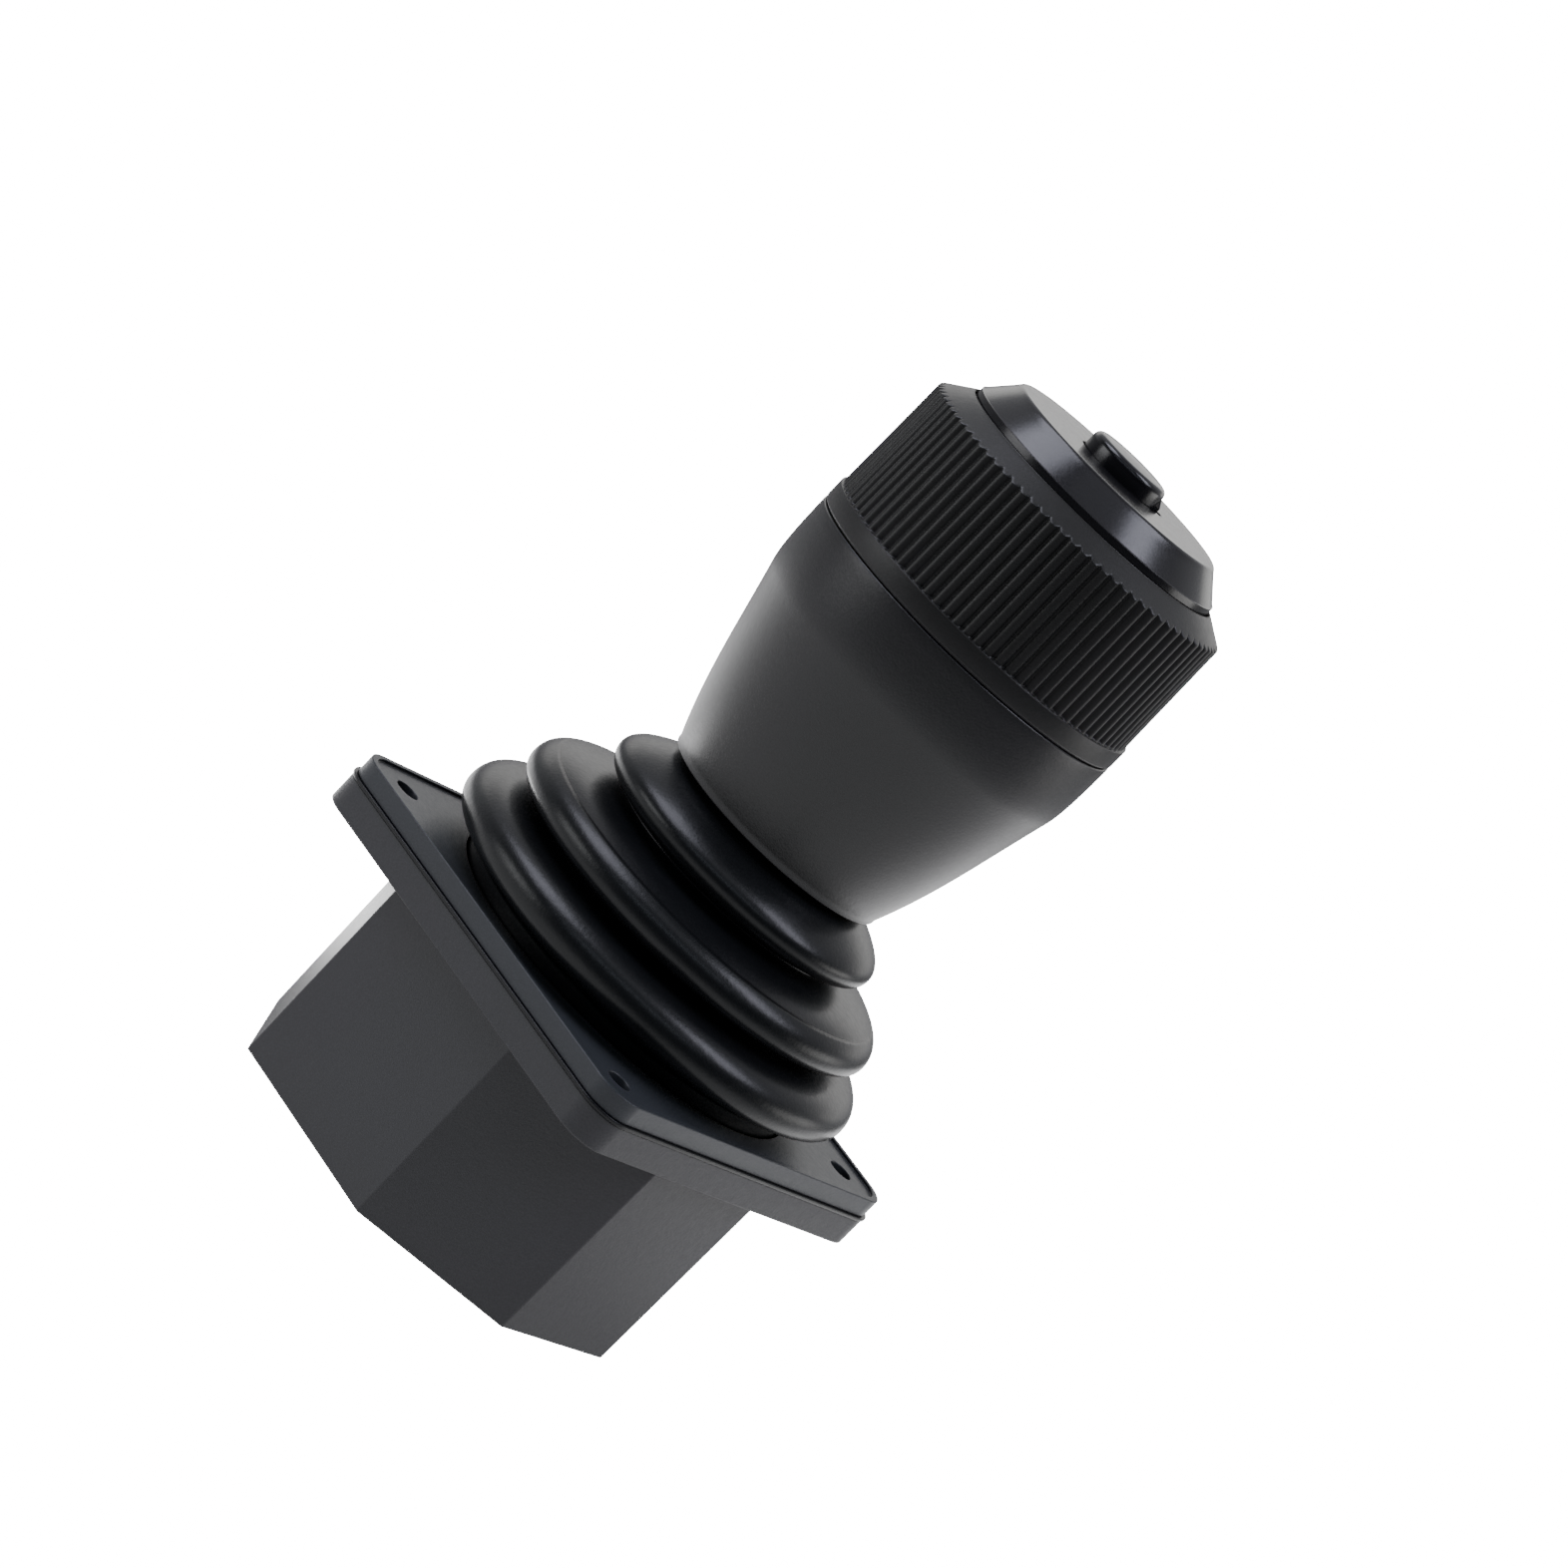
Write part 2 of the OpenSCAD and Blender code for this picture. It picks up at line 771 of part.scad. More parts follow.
module return_spring_x() {
    color(steel)
        at_unit_x()
            unit_spring();
}

// ---------- gimbal ----------

module gimbal_ring() {
    color(steel)
        translate([0, 0, pivot_z])
            difference() {
                union() {
                    translate([0, 0, -ring_tall / 2])
                        cylinder(r = ring_out_r, h = ring_tall);
                    for (side = [0, 90, 180, 270])
                        rotate(side)
                            rotate([0, 90, 0])
                                cylinder(r = ring_tall / 2, h = ring_face);
                    translate([-tab_w, ring_out_r - unit_web, -fixed_tab[1]])
                        cube([2 * tab_w, ring_face - ring_out_r + unit_web, fixed_tab[1]]);
                    translate([0, 0, -pivot_z])
                        at_unit_y()
                            unit_seat();
                }
                translate([0, 0, -ring_tall])
                    cylinder(r = ring_in_r, h = 2 * ring_tall);
                rotate([0, 90, 0])
                    cylinder(r = pin_r, h = 4 * ring_out_r, center = true);
                for (side = [-90, 90])
                    rotate([side, 0, 0])
                        translate([0, 0, -0.5])
                            cylinder(r = bush_r, h = ring_face + 0.5);
                rotate([-90, 0, 0])
                    cylinder(r = pin_r + moving_gap, h = 2 * ring_out_r);
            }
}

module trunnion_pins() {
    color(steel)
        translate([0, 0, pivot_z]) {
            translate([ring_in_r + 0.3, 0, 0])
                rotate([0, 90, 0])
                    cylinder(r = pin_r, h = ear_x + ear_t + lever_u + lever_t - ring_in_r - 0.3);
            translate([-ring_in_r - 0.3, 0, 0])
                rotate([0, -90, 0])
                    cylinder(r = pin_r, h = ear_x + ear_t - ring_in_r - 0.3);
        }
}

module ring_bushes() {
    inner_face = ring_in_r + 0.4;
    color(bronze)
        for (side = [90, 270])
            rotate(side)
                translate([inner_face, 0, pivot_z])
                    rotate([0, 90, 0])
                        ring_of(bush_r, pin_r + run_gap, ring_face - inner_face);
}

module spring_lever_x() {
    color(steel)
        at_unit_x()
            unit_lever();
}

module return_spring_y() {
    color(steel)
        at_unit_y()
            unit_spring();
}

// ---------- stick ----------

module stick_shaft() {
    bore_z = flange_t + 4;
    color(steel)
        difference() {
            union() {
                translate([0, 0, pivot_z - shaft_foot])
                    cylinder(r = shaft_r, h = floor_top - pivot_z + shaft_foot);
                translate([0, 0, hub_z - collar_h])
                    cylinder(r = hub_r - 1.4, h = collar_h);
                translate([0, 0, floor_top])
                    cylinder(r = shaft_r - 0.3, h = shaft_top - floor_top);
            }
            translate([0, 0, pivot_z])
                rotate([90, 0, 0])
                    cylinder(r = pin_r, h = 4 * shaft_r, center = true);
            translate([0, 0, bore_z])
                cylinder(r = wire_bore_r, h = shaft_top);
            translate([0, 0, bore_z + wire_bore_r])
                rotate([0, 90, 0])
                    cylinder(r = wire_bore_r, h = 2 * shaft_r);
        }
}

module pivot_ball() {
    color(body_black)
        difference() {
            union() {
                translate([0, 0, pivot_z])
                    sphere(r = ball_r);
                translate([0, 0, pivot_z])
                    cylinder(r = shaft_r + sleeve_wall, h = ball_neck);
            }
            translate([0, 0, pivot_z - shaft_foot])
                cylinder(r = shaft_r, h = shaft_foot + ball_neck + 1);
            translate([0, 0, pivot_z])
                rotate([90, 0, 0])
                    cylinder(r = pin_r, h = 4 * ball_r, center = true);
            translate([0, 0, pivot_z - ball_r - 1])
                cylinder(r = magnet_r, h = magnet_h + magnet_seat + 1);
        }
}

module cross_pin() {
    reach = ring_face + lever_u + lever_t;
    color(steel)
        translate([0, -ring_face, pivot_z])
            rotate([-90, 0, 0])
                cylinder(r = pin_r, h = ring_face + reach);
}

module stick_magnet() {
    color(chip_black)
        translate([0, 0, pivot_z - ball_r + magnet_seat])
            cylinder(r = magnet_r, h = magnet_h);
}

module spring_lever_y() {
    color(steel)
        at_unit_y()
            unit_lever();
}

// outer side of the grip: a slightly swollen cone that bends into a cylinder
function grip_side() =
    let (
        foot = [grip_foot_r, grip_z + 0.6],
        bend = [grip_top_r - 0.6, grip_z + 0.71 * grip_h],
        top = [grip_top_r, grip_top]
    ) [
        [foot, foot + [3.2, 7.8], bend - [2.2, 8], bend],
        [bend, bend + [0.5, 2], top - [0.02, 4.4], top]
    ];

module grip_body() {
    side = side_points(grip_side(), 0, 10);
    in_r = grip_top_r - grip_wall;
    low_r = grip_foot_r - grip_wall + 1;
    color(grip_black)
        difference() {
            union() {
                difference() {
                    rotate_extrude()
                        polygon(concat(
                            [[0, hub_z], [hub_r, hub_z], [hub_r, pocket_top],
                             [hub_r + 2.4, pocket_top], [hub_r + 2.4, grip_z + 5.4],
                             [grip_foot_r - 2.3, grip_z + 1.4], [grip_foot_r - 2, grip_z],
                             [grip_foot_r - 0.6, grip_z], [grip_foot_r - 0.1, grip_z + 0.2],
                             [grip_foot_r, grip_z + 0.6]],
                            side,
                            [[0, grip_top]]
                        ));
                    translate([0, 0, floor_top])
                        cylinder(r1 = low_r, r2 = in_r, h = core_z - floor_top - 4);
                    translate([0, 0, core_z - 4 - eps])
                        cylinder(r = in_r, h = grip_top - core_z + 5);
                }
                difference() {
                    for (a = core_screw_at)
                        rotate(a)
                            translate([core_screw_r, 0, floor_top]) {
                                cylinder(r = 2.6, h = core_z - floor_top);
                                translate([0, -1.2, 0])
                                    cube([3, 2.4, core_z - floor_top]);
                            }
                    difference() {
                        translate([0, 0, floor_top - 1])
                            cylinder(r = 2 * grip_top_r, h = grip_h);
                        translate([0, 0, floor_top - 1])
                            cylinder(r1 = low_r + 0.6, r2 = in_r + 0.6, h = core_z - floor_top - 3);
                        translate([0, 0, core_z - 4 - eps])
                            cylinder(r = in_r + 0.6, h = grip_h);
                    }
                }
            }
            translate([0, 0, hub_z - 1])
                cylinder(r = shaft_r, h = 20);
            for (a = core_screw_at)
                rotate(a)
                    translate([core_screw_r, 0, core_z - screw_thread])
                        cylinder(r = screw_r, h = screw_thread + 1);
            translate([0, 0, grip_top - 0.5])
                ring_of(grip_top_r - 0.9, grip_top_r - 2.1, 1);
        }
}

module grip_washer() {
    color(steel)
        translate([0, 0, floor_top])
            ring_of(nut_w / 2 + 0.8, shaft_r, washer_t);
}

module grip_nut() {
    color(steel)
        translate([0, 0, floor_top + washer_t])
            difference() {
                cylinder(d = nut_w, h = nut_h, $fn = 6);
                translate([0, 0, -1])
                    cylinder(r = shaft_r - 0.3, h = nut_h + 2);
            }
}

module grip_core() {
    color(acetal)
        difference() {
            union() {
                translate([0, 0, core_z])
                    cylinder(r = core_r, h = core_t);
                translate([0, 0, core_z])
                    cylinder(r = tube_r, h = tube_top - core_z);
                translate([twist_fixed[0], -twist_tab_w, core_z])
                    cube([twist_fixed[1] - twist_fixed[0], 2 * twist_tab_w, core_t + 5]);
                for (side = [0, 1])
                    mirror([0, side, 0])
                        rotate(stop_at)
                            translate([twist_moving[0], 0, core_z])
                                cube([twist_moving[1] - twist_moving[0], stop_w, core_t + stop_h]);
            }
            translate([0, 0, core_z - 1])
                cylinder(r = tube_step_r, h = 60);
            translate([0, 0, button_board_z])
                cylinder(r = tube_in_r, h = 40);
            for (a = core_screw_at)
                rotate(a)
                    translate([core_screw_r, 0, core_z - 1])
                        cylinder(r = screw_slip_r, h = core_t + 2);
        }
}

module core_screws() {
    color(steel)
        for (a = core_screw_at)
            rotate(a)
                translate([core_screw_r, 0, core_z + core_t])
                    hex_socket_screw(core_head, screw_r, core_t + screw_grip);
}

module ring_seal() {
    color(rubber_black)
        translate([0, 0, grip_top - 0.5 + 0.37])
            rotate_extrude()
                translate([grip_top_r - 1.5, 0])
                    circle(0.37, $fn = 24);
}

module twist_board() {
    color(board_green)
        translate([0, 0, core_z + core_t])
            intersection() {
                ring_of(core_r - 0.4, twist_coil_r + 0.9, 1);
                rotate(sensor_at)
                    linear_extrude(3, center = true)
                        polygon([[0, 0], [40, -18], [40, 18]]);
            }
}

module twist_sensor() {
    color(chip_black)
        rotate(sensor_at)
            translate([magnet_at_r, 0, core_z + core_t + 1.5])
                cube([3, 4, 1], center = true);
}

module twist_spring() {
    color(steel)
        translate([0, 0, core_z + core_t + 0.1])
            wire(torsion_leg_path(), twist_wire / 2);
}

// torsion spring of the ring: a wide coil with two radial legs beside the tabs
function torsion_leg_path() =
    let (
        half = twist_tab_w + twist_wire / 2 + 0.05,
        bend = asin(half / twist_coil_r),
        sweep = 720 + 2 * bend,
        steps = 40,
        pitch = 1.2
    ) concat(
        [[twist_moving[1], half, twist_wire / 2]],
        [for (i = [0 : steps])
            let (a = bend - sweep * i / steps)
            [twist_coil_r * cos(a), twist_coil_r * sin(a),
             twist_wire / 2 + pitch * sweep * i / steps / 360]],
        [[twist_moving[1], -half, twist_wire / 2 + pitch * sweep / 360]]
    );

module button_board() {
    color(board_green)
        translate([0, 0, button_board_z])
            cylinder(r = tube_in_r - slip_gap, h = board_t);
}

module switch_holder() {
    color(acetal)
        translate([0, 0, button_board_z + board_t])
            difference() {
                cylinder(r = tube_in_r - slip_gap, h = holder_h);
                translate([-switch_w / 2, -switch_w / 2, -1])
                    cube([switch_w, switch_w, holder_h + 2]);
            }
}

module switch_body() {
    color(chip_black)
        translate([0, 0, button_board_z + board_t])
            difference() {
                translate([-switch_w / 2, -switch_w / 2, 0])
                    cube([switch_w, switch_w, holder_h - 0.2]);
                translate([0, 0, 0.8])
                    cylinder(r = plunger_r + run_gap, h = holder_h);
            }
}

module button_spring() {
    color(steel)
        wire(compression_path(stem_r + 1.2, 0.6, seat_z, flange_button_z, 4), 0.3);
}

module cap() {
    cone_top = cap_top - cap_round;
    color(gloss_black)
        difference() {
            union() {
                translate([0, 0, cap_z - cap_skirt])
                    cylinder(r = cap_r, h = cap_skirt + 0.9);
                translate([0, 0, cap_z + 0.9 - eps])
                    cylinder(r1 = cap_r - 0.1, r2 = cap_r - 2.5, h = cone_top - cap_z - 0.9 + eps);
                rotate_extrude()
                    translate([cap_r - cap_cone_in, cone_top - eps])
                        intersection() {
                            circle(cap_round, $fn = 48);
                            square(2 * cap_round);
                        }
                translate([0, 0, cone_top - eps])
                    cylinder(r = cap_r - cap_cone_in, h = cap_round);
            }
            translate([0, 0, cap_z - cap_skirt - 1])
                ring_of(cap_r - 2.2, tube_in_r, cap_skirt + 1 + cap_seat);
            translate([0, 0, cap_z - cap_skirt - 1])
                cylinder(r = flange_button_r + moving_gap, h = cap_top - cap_wall - cap_z + cap_skirt + 1);
            translate([0, 0, cap_top - 3])
                cylinder(r = button_r + moving_gap, h = 5);
            rotate(key_at)
                translate([0, -key_w / 2 - moving_gap, cap_top - 3])
                    cube([button_r + key_out + moving_gap, key_w + 2 * moving_gap, 5]);
        }
}

// ---------- twist ring ----------

// star outline of the ribbed band: straight V grooves round a circle
function rib_star(r, depth) = [
    for (i = [0 : 2 * rib_count - 1])
        let (a = 180 * i / rib_count, q = i % 2 == 0 ? r : r - depth)
        [q * cos(a), q * sin(a)]
];

module twist_ring() {
    in_r = grip_top_r - ring_wall;
    tall = ring_top - ring_z;
    color(gloss_black)
        difference() {
            union() {
                translate([0, 0, ring_z])
                    cylinder(r = grip_top_r, h = band_h);
                intersection() {
                    translate([0, 0, rib_z - eps])
                        linear_extrude(tall)
                            polygon(rib_star(rib_foot_r, rib_depth));
                    translate([0, 0, rib_z - 2 * eps])
                        cylinder(r1 = rib_foot_r, r2 = rib_head_r, h = rib_top - rib_z + 2 * eps);
                }
                translate([0, 0, rib_top - eps])
                    cylinder(r1 = rib_head_r, r2 = shoulder_r, h = ring_top - rib_top + eps);
            }
            translate([0, 0, ring_z - 1])
                cylinder(r = in_r, h = web_z - ring_z + 1);
            translate([0, 0, web_z + web_t])
                cylinder(r = in_r, h = rib_top - 1.4 - web_z - web_t);
            translate([0, 0, web_z])
                cylinder(r = cap_r - 1, h = tall);
            translate([0, 0, cap_z - cap_skirt - moving_gap])
                cylinder(r = cap_r + moving_gap, h = 4);
        }
    color(gloss_black)
        difference() {
            union() {
                translate([0, 0, web_z])
                    cylinder(r = in_r + 0.5, h = web_t);
                translate([0, 0, web_z - 3])
                    cylinder(r = ring_hub_r, h = web_t + 3);
                translate([twist_moving[0], -twist_tab_w, core_z + core_t + 0.6])
                    cube([twist_moving[1] - twist_moving[0], 2 * twist_tab_w,
                          web_z - core_z - core_t]);
                rotate(sensor_at)
                    translate([magnet_at_r, 0, magnet_z])
                        cylinder(r = magnet_r + magnet_wall, h = web_z - magnet_z + eps);
            }
            translate([0, 0, ring_z - 1])
                cylinder(r = tube_r + run_gap, h = 40);
            rotate(sensor_at)
                translate([magnet_at_r, 0, magnet_z - 1])
                    cylinder(r = magnet_r, h = 1 + magnet_h);
        }
}

module twist_magnet() {
    color(chip_black)
        rotate(sensor_at)
            translate([magnet_at_r, 0, magnet_z])
                cylinder(r = magnet_r, h = magnet_h);
}

// ---------- push button ----------

module push_button() {
    color(gloss_black)
        union() {
            rotate_extrude()
                union() {
                    translate([0, flange_button_z])
                        square([flange_button_r, flange_button_t]);
                    translate([0, flange_button_z])
                        square([button_r, button_top - button_dome - button_edge - flange_button_z]);
                    translate([0, button_top - button_dome - button_edge - eps])
                        square([button_r - button_edge, button_edge + eps]);
                    translate([button_r - button_edge, button_top - button_dome - button_edge])
                        circle(button_edge, $fn = 48);
                    translate([0, stem_z])
                        square([stem_r, flange_button_z - stem_z + eps]);
                }
            translate([0, 0, button_top - button_dome - eps])
                cylinder(r1 = button_r - button_edge, r2 = 1, h = button_dome);
            rotate(key_at)
                translate([button_r - 1, -key_w / 2, flange_button_z])
                    cube([1 + key_out, key_w, button_top - 1 - flange_button_z]);
        }
}

module switch_plunger() {
    color(acetal)
        translate([0, 0, stem_z - plunger_l])
            cylinder(r = plunger_r, h = plunger_l);
}

housing();
bottom_cover();
cover_screws();
sensor_board();
tilt_sensor();
connector_shell();
connector_pins();
gimbal_frame();
frame_screws();
pivot_bushes();
gate_plate();
bezel();
gaiter();
return_spring_x();
gimbal_ring();
trunnion_pins();
ring_bushes();
spring_lever_x();
return_spring_y();
stick_shaft();
pivot_ball();
cross_pin();
stick_magnet();
spring_lever_y();
grip_body();
grip_washer();
grip_nut();
grip_core();
core_screws();
ring_seal();
twist_board();
twist_sensor();
twist_spring();
button_board();
switch_holder();
switch_body();
button_spring();
cap();
twist_ring();
twist_magnet();
push_button();
switch_plunger();
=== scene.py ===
import json
import math

import bmesh
import bpy
import numpy as np
from mathutils import Matrix, Vector


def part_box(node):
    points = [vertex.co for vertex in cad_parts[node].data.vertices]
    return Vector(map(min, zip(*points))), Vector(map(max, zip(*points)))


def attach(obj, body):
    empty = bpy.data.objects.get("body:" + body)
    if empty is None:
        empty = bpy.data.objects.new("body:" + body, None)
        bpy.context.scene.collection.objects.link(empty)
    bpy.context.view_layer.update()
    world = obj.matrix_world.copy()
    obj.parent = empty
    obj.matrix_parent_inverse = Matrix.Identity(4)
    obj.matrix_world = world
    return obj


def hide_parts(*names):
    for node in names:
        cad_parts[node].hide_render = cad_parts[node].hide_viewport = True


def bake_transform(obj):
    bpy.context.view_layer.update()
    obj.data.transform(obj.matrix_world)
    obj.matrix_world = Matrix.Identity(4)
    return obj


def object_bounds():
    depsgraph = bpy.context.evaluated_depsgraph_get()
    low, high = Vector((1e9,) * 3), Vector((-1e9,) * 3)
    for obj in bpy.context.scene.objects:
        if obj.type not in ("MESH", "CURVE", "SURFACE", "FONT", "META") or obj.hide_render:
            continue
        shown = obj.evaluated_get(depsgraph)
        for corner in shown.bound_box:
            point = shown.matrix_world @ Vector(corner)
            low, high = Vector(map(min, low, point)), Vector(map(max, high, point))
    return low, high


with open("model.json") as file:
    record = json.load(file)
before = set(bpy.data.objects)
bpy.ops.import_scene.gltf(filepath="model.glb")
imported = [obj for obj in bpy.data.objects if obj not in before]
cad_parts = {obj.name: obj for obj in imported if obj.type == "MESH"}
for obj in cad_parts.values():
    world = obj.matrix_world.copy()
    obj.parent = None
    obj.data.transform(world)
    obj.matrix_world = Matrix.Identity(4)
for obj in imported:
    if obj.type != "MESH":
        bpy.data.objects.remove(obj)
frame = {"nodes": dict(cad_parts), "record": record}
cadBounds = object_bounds()
mm = 0.001


# Mesh helpers.

def addObject(name, mesh):
    piece = bpy.data.objects.new(name, mesh)
    bpy.context.scene.collection.objects.link(piece)
    return piece


def meshFromGrid(name, points, closeU=True, closeV=False):
    # points is rows x columns x 3: neighbouring rows and columns are joined by quads,
    # and the last column (or row) joins the first where the surface closes on itself
    rows, columns, _ = points.shape
    i = np.arange(rows if closeV else rows - 1)
    j = np.arange(columns if closeU else columns - 1)
    i, j = np.meshgrid(i, j, indexing="ij")
    nextI = (i + 1) % rows
    nextJ = (j + 1) % columns
    quads = np.stack(
        [i * columns + j, i * columns + nextJ, nextI * columns + nextJ, nextI * columns + j], axis=-1
    ).reshape(-1, 4)
    mesh = bpy.data.meshes.new(name)
    mesh.from_pydata(points.reshape(-1, 3).tolist(), [], quads.tolist())
    mesh.polygons.foreach_set("use_smooth", np.ones(len(quads), dtype=bool))
    mesh.update()
    return mesh


def revolve(name, profile, columns, reshape=None):
    # a profile of (radius, height) is carried round Z: x = r cos a, y = r sin a.
    # It runs round the section with the solid on its left; reshape may change r with row and angle
    angle = np.linspace(0, 2 * np.pi, columns, endpoint=False)
    radius = np.repeat(profile[:, :1], columns, axis=1)
    if reshape is not None:
        radius = reshape(radius, profile[:, 1:], angle)
    height = np.repeat(profile[:, 1:], columns, axis=1)
    points = np.stack([radius * np.cos(angle), radius * np.sin(angle), height], axis=-1)
    return addObject(name, meshFromGrid(name, points))


def bezierPoints(control, count):
    # cubic curve: the four control points weighted by (1-t)^3, 3(1-t)^2 t, 3(1-t) t^2 and t^3
    t = np.linspace(0, 1, count)[:, None]
    a, b, c, d = [np.array(p, float) for p in control]
    return (1 - t) ** 3 * a + 3 * (1 - t) ** 2 * t * b + 3 * (1 - t) * t ** 2 * c + t ** 3 * d


def roundCorners(points, radii, steps=6, share=0.49):
    # each corner of an open outline becomes a quarter-like arc: a quadratic curve
    # from one tangent point to the other, pulled towards the corner; it takes
    # at most the given share of the edge on either side
    points = [np.array(p, float) for p in points]
    out = [points[0][None]]
    t = np.linspace(0, 1, steps)[:, None]
    for k in range(1, len(points) - 1):
        corner, radius = points[k], radii[k]
        before, after = points[k - 1] - corner, points[k + 1] - corner
        lengthBefore, lengthAfter = np.linalg.norm(before), np.linalg.norm(after)
        reach = min(radius, lengthBefore * share, lengthAfter * share)
        start = corner + before / lengthBefore * reach
        end = corner + after / lengthAfter * reach
        if radius <= 0:
            out.append(corner[None])
        else:
            out.append((1 - t) ** 2 * start + 2 * (1 - t) * t * corner + t ** 2 * end)
    out.append(points[-1][None])
    return np.concatenate(out)


def addMaterial(piece, material):
    piece.data.materials.clear()
    piece.data.materials.append(material)


def finishPiece(piece, body, nodes, material):
    addMaterial(piece, material)
    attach(piece, body)
    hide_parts(*nodes)


soften = {
    "segments": 3,
    "sharper": 32,        # degrees: edges that turn more than this are rounded
    "merge": 0.03,        # corners closer than this become one, mm
    "flatter": 0.6,       # degrees: faces that turn less than this become one
}


def softenedCopy(name, node, width, s):
    # a merged copy of a CAD part whose edges are rounded by a live bevel
    piece = addObject(name, frame["nodes"][node].data.copy())
    shape = bmesh.new()
    shape.from_mesh(piece.data)
    bmesh.ops.remove_doubles(shape, verts=shape.verts, dist=s["merge"] * mm)
    bmesh.ops.dissolve_limit(shape, angle_limit=math.radians(s["flatter"]), verts=shape.verts,
                             edges=shape.edges)
    shape.to_mesh(piece.data)
    shape.free()
    bevel = piece.modifiers.new("softEdges", "BEVEL")
    bevel.width = width
    bevel.segments = s["segments"]
    bevel.limit_method = "ANGLE"
    bevel.angle_limit = math.radians(s["sharper"])
    bevel.use_clamp_overlap = False
    flatten = piece.modifiers.new("faceNormals", "WEIGHTED_NORMAL")
    flatten.weight = 50
    flatten.keep_sharp = False
    piece.data.polygons.foreach_set("use_smooth", np.ones(len(piece.data.polygons), dtype=bool))
    return piece


def plateWithHoles(name, width, corner, holes, low, high, edge, cornerPoints=10):
    # a filled outline (a square with arc corners) with round holes, thickened and rounded:
    # each corner is a quarter circle of the corner radius, each hole a full circle
    flat = bpy.data.curves.new(name, "CURVE")
    flat.dimensions = "2D"
    flat.fill_mode = "BOTH"
    quarter = np.linspace(0, np.pi / 2, cornerPoints)
    reach = width / 2 - corner
    loops = [np.concatenate([
        np.stack([sx * reach + corner * np.cos(quarter + turn),
                  sy * reach + corner * np.sin(quarter + turn)], axis=1)
        for sx, sy, turn in ((1, 1, 0), (-1, 1, np.pi / 2), (-1, -1, np.pi), (1, -1, 1.5 * np.pi))])]
    for x, y, radius, count in holes:
        around = np.linspace(0, 2 * np.pi, count, endpoint=False)
        loops.append(np.stack([x + radius * np.cos(around), y + radius * np.sin(around)], axis=1))
    for loop in loops:
        spline = flat.splines.new("POLY")
        spline.points.add(len(loop) - 1)
        co = np.concatenate([loop, np.zeros((len(loop), 1)), np.ones((len(loop), 1))], axis=1)
        spline.points.foreach_set("co", co.ravel())
        spline.use_cyclic_u = True
    flat.extrude = (high - low) / 2 - edge
    flat.bevel_depth = edge
    flat.bevel_resolution = 2
    flat.offset = -edge
    holder = addObject(name + "Curve", flat)
    mesh = bpy.data.meshes.new_from_object(holder)
    mesh.transform(Matrix.Translation((0, 0, (low + high) / 2)))
    bpy.data.objects.remove(holder)
    mesh.name = name
    return addObject(name, mesh)


# Node helpers.

def newGroup(name, inputs, outputs):
    group = bpy.data.node_groups.new(name, "ShaderNodeTree")
    for label, kind, value in inputs:
        item = group.interface.new_socket(label, in_out="INPUT", socket_type=kind)
        if value is not None:
            item.default_value = value
    for label, kind in outputs:
        group.interface.new_socket(label, in_out="OUTPUT", socket_type=kind)
    return group, group.nodes.new("NodeGroupInput"), group.nodes.new("NodeGroupOutput")


def addNode(tree, kind, **values):
    node = tree.nodes.new(kind)
    for key, value in values.items():
        setattr(node, key, value)
    return node


def feed(tree, socket, value):
    # a socket takes another node's output, a number or a vector
    if isinstance(value, bpy.types.NodeSocket):
        tree.links.new(value, socket)
    elif value is not None:
        socket.default_value = value


def maths(tree, operation, a, b=None, c=None, clamp=False):
    node = addNode(tree, "ShaderNodeMath", operation=operation, use_clamp=clamp)
    for socket, value in zip(node.inputs, (a, b, c)):
        feed(tree, socket, value)
    return node.outputs[0]


def vectorMaths(tree, operation, a, b=None):
    node = addNode(tree, "ShaderNodeVectorMath", operation=operation)
    feed(tree, node.inputs[0], a)
    feed(tree, node.inputs[1], b)
    return node.outputs["Value"]


def easedRange(tree, value, fromLow, fromHigh, toLow, toHigh):
    # a smooth step from one value to the other between two limits
    node = addNode(tree, "ShaderNodeMapRange", interpolation_type="SMOOTHSTEP")
    feed(tree, node.inputs["Value"], value)
    for socket, limit in zip(node.inputs[1:5], (fromLow, fromHigh, toLow, toHigh)):
        socket.default_value = limit
    return node.outputs["Result"]


def mixColour(tree, amount, a, b):
    node = addNode(tree, "ShaderNodeMix", data_type="RGBA")
    feed(tree, node.inputs[0], amount)
    for socket, colour in ((node.inputs[6], a), (node.inputs[7], b)):
        feed(tree, socket, (*colour, 1) if isinstance(colour, tuple) else colour)
    return node.outputs[2]


def noise(tree, vector, scale, detail=3.0, roughness=0.5):
    node = addNode(tree, "ShaderNodeTexNoise")
    feed(tree, node.inputs["Detail"], detail)
    feed(tree, node.inputs["Roughness"], roughness)
    feed(tree, node.inputs["Scale"], scale)
    feed(tree, node.inputs["Vector"], vector)
    return node.outputs["Fac"]


# Camera.

cameraSet = {
    "turn": 33.32,       # degrees to the right of the front
    "away": 568.68,      # distance from the stick's axis, mm
    "height": 151.44,    # above the flange's underside, mm
    "pitch": 11.28,      # degrees down
    "yaw": -0.31,
    "roll": 44.12,       # the view is turned so that the stick leans to the upper right
    "lens": 110.65, "sensor": 36, "nearest": 0.01,
}


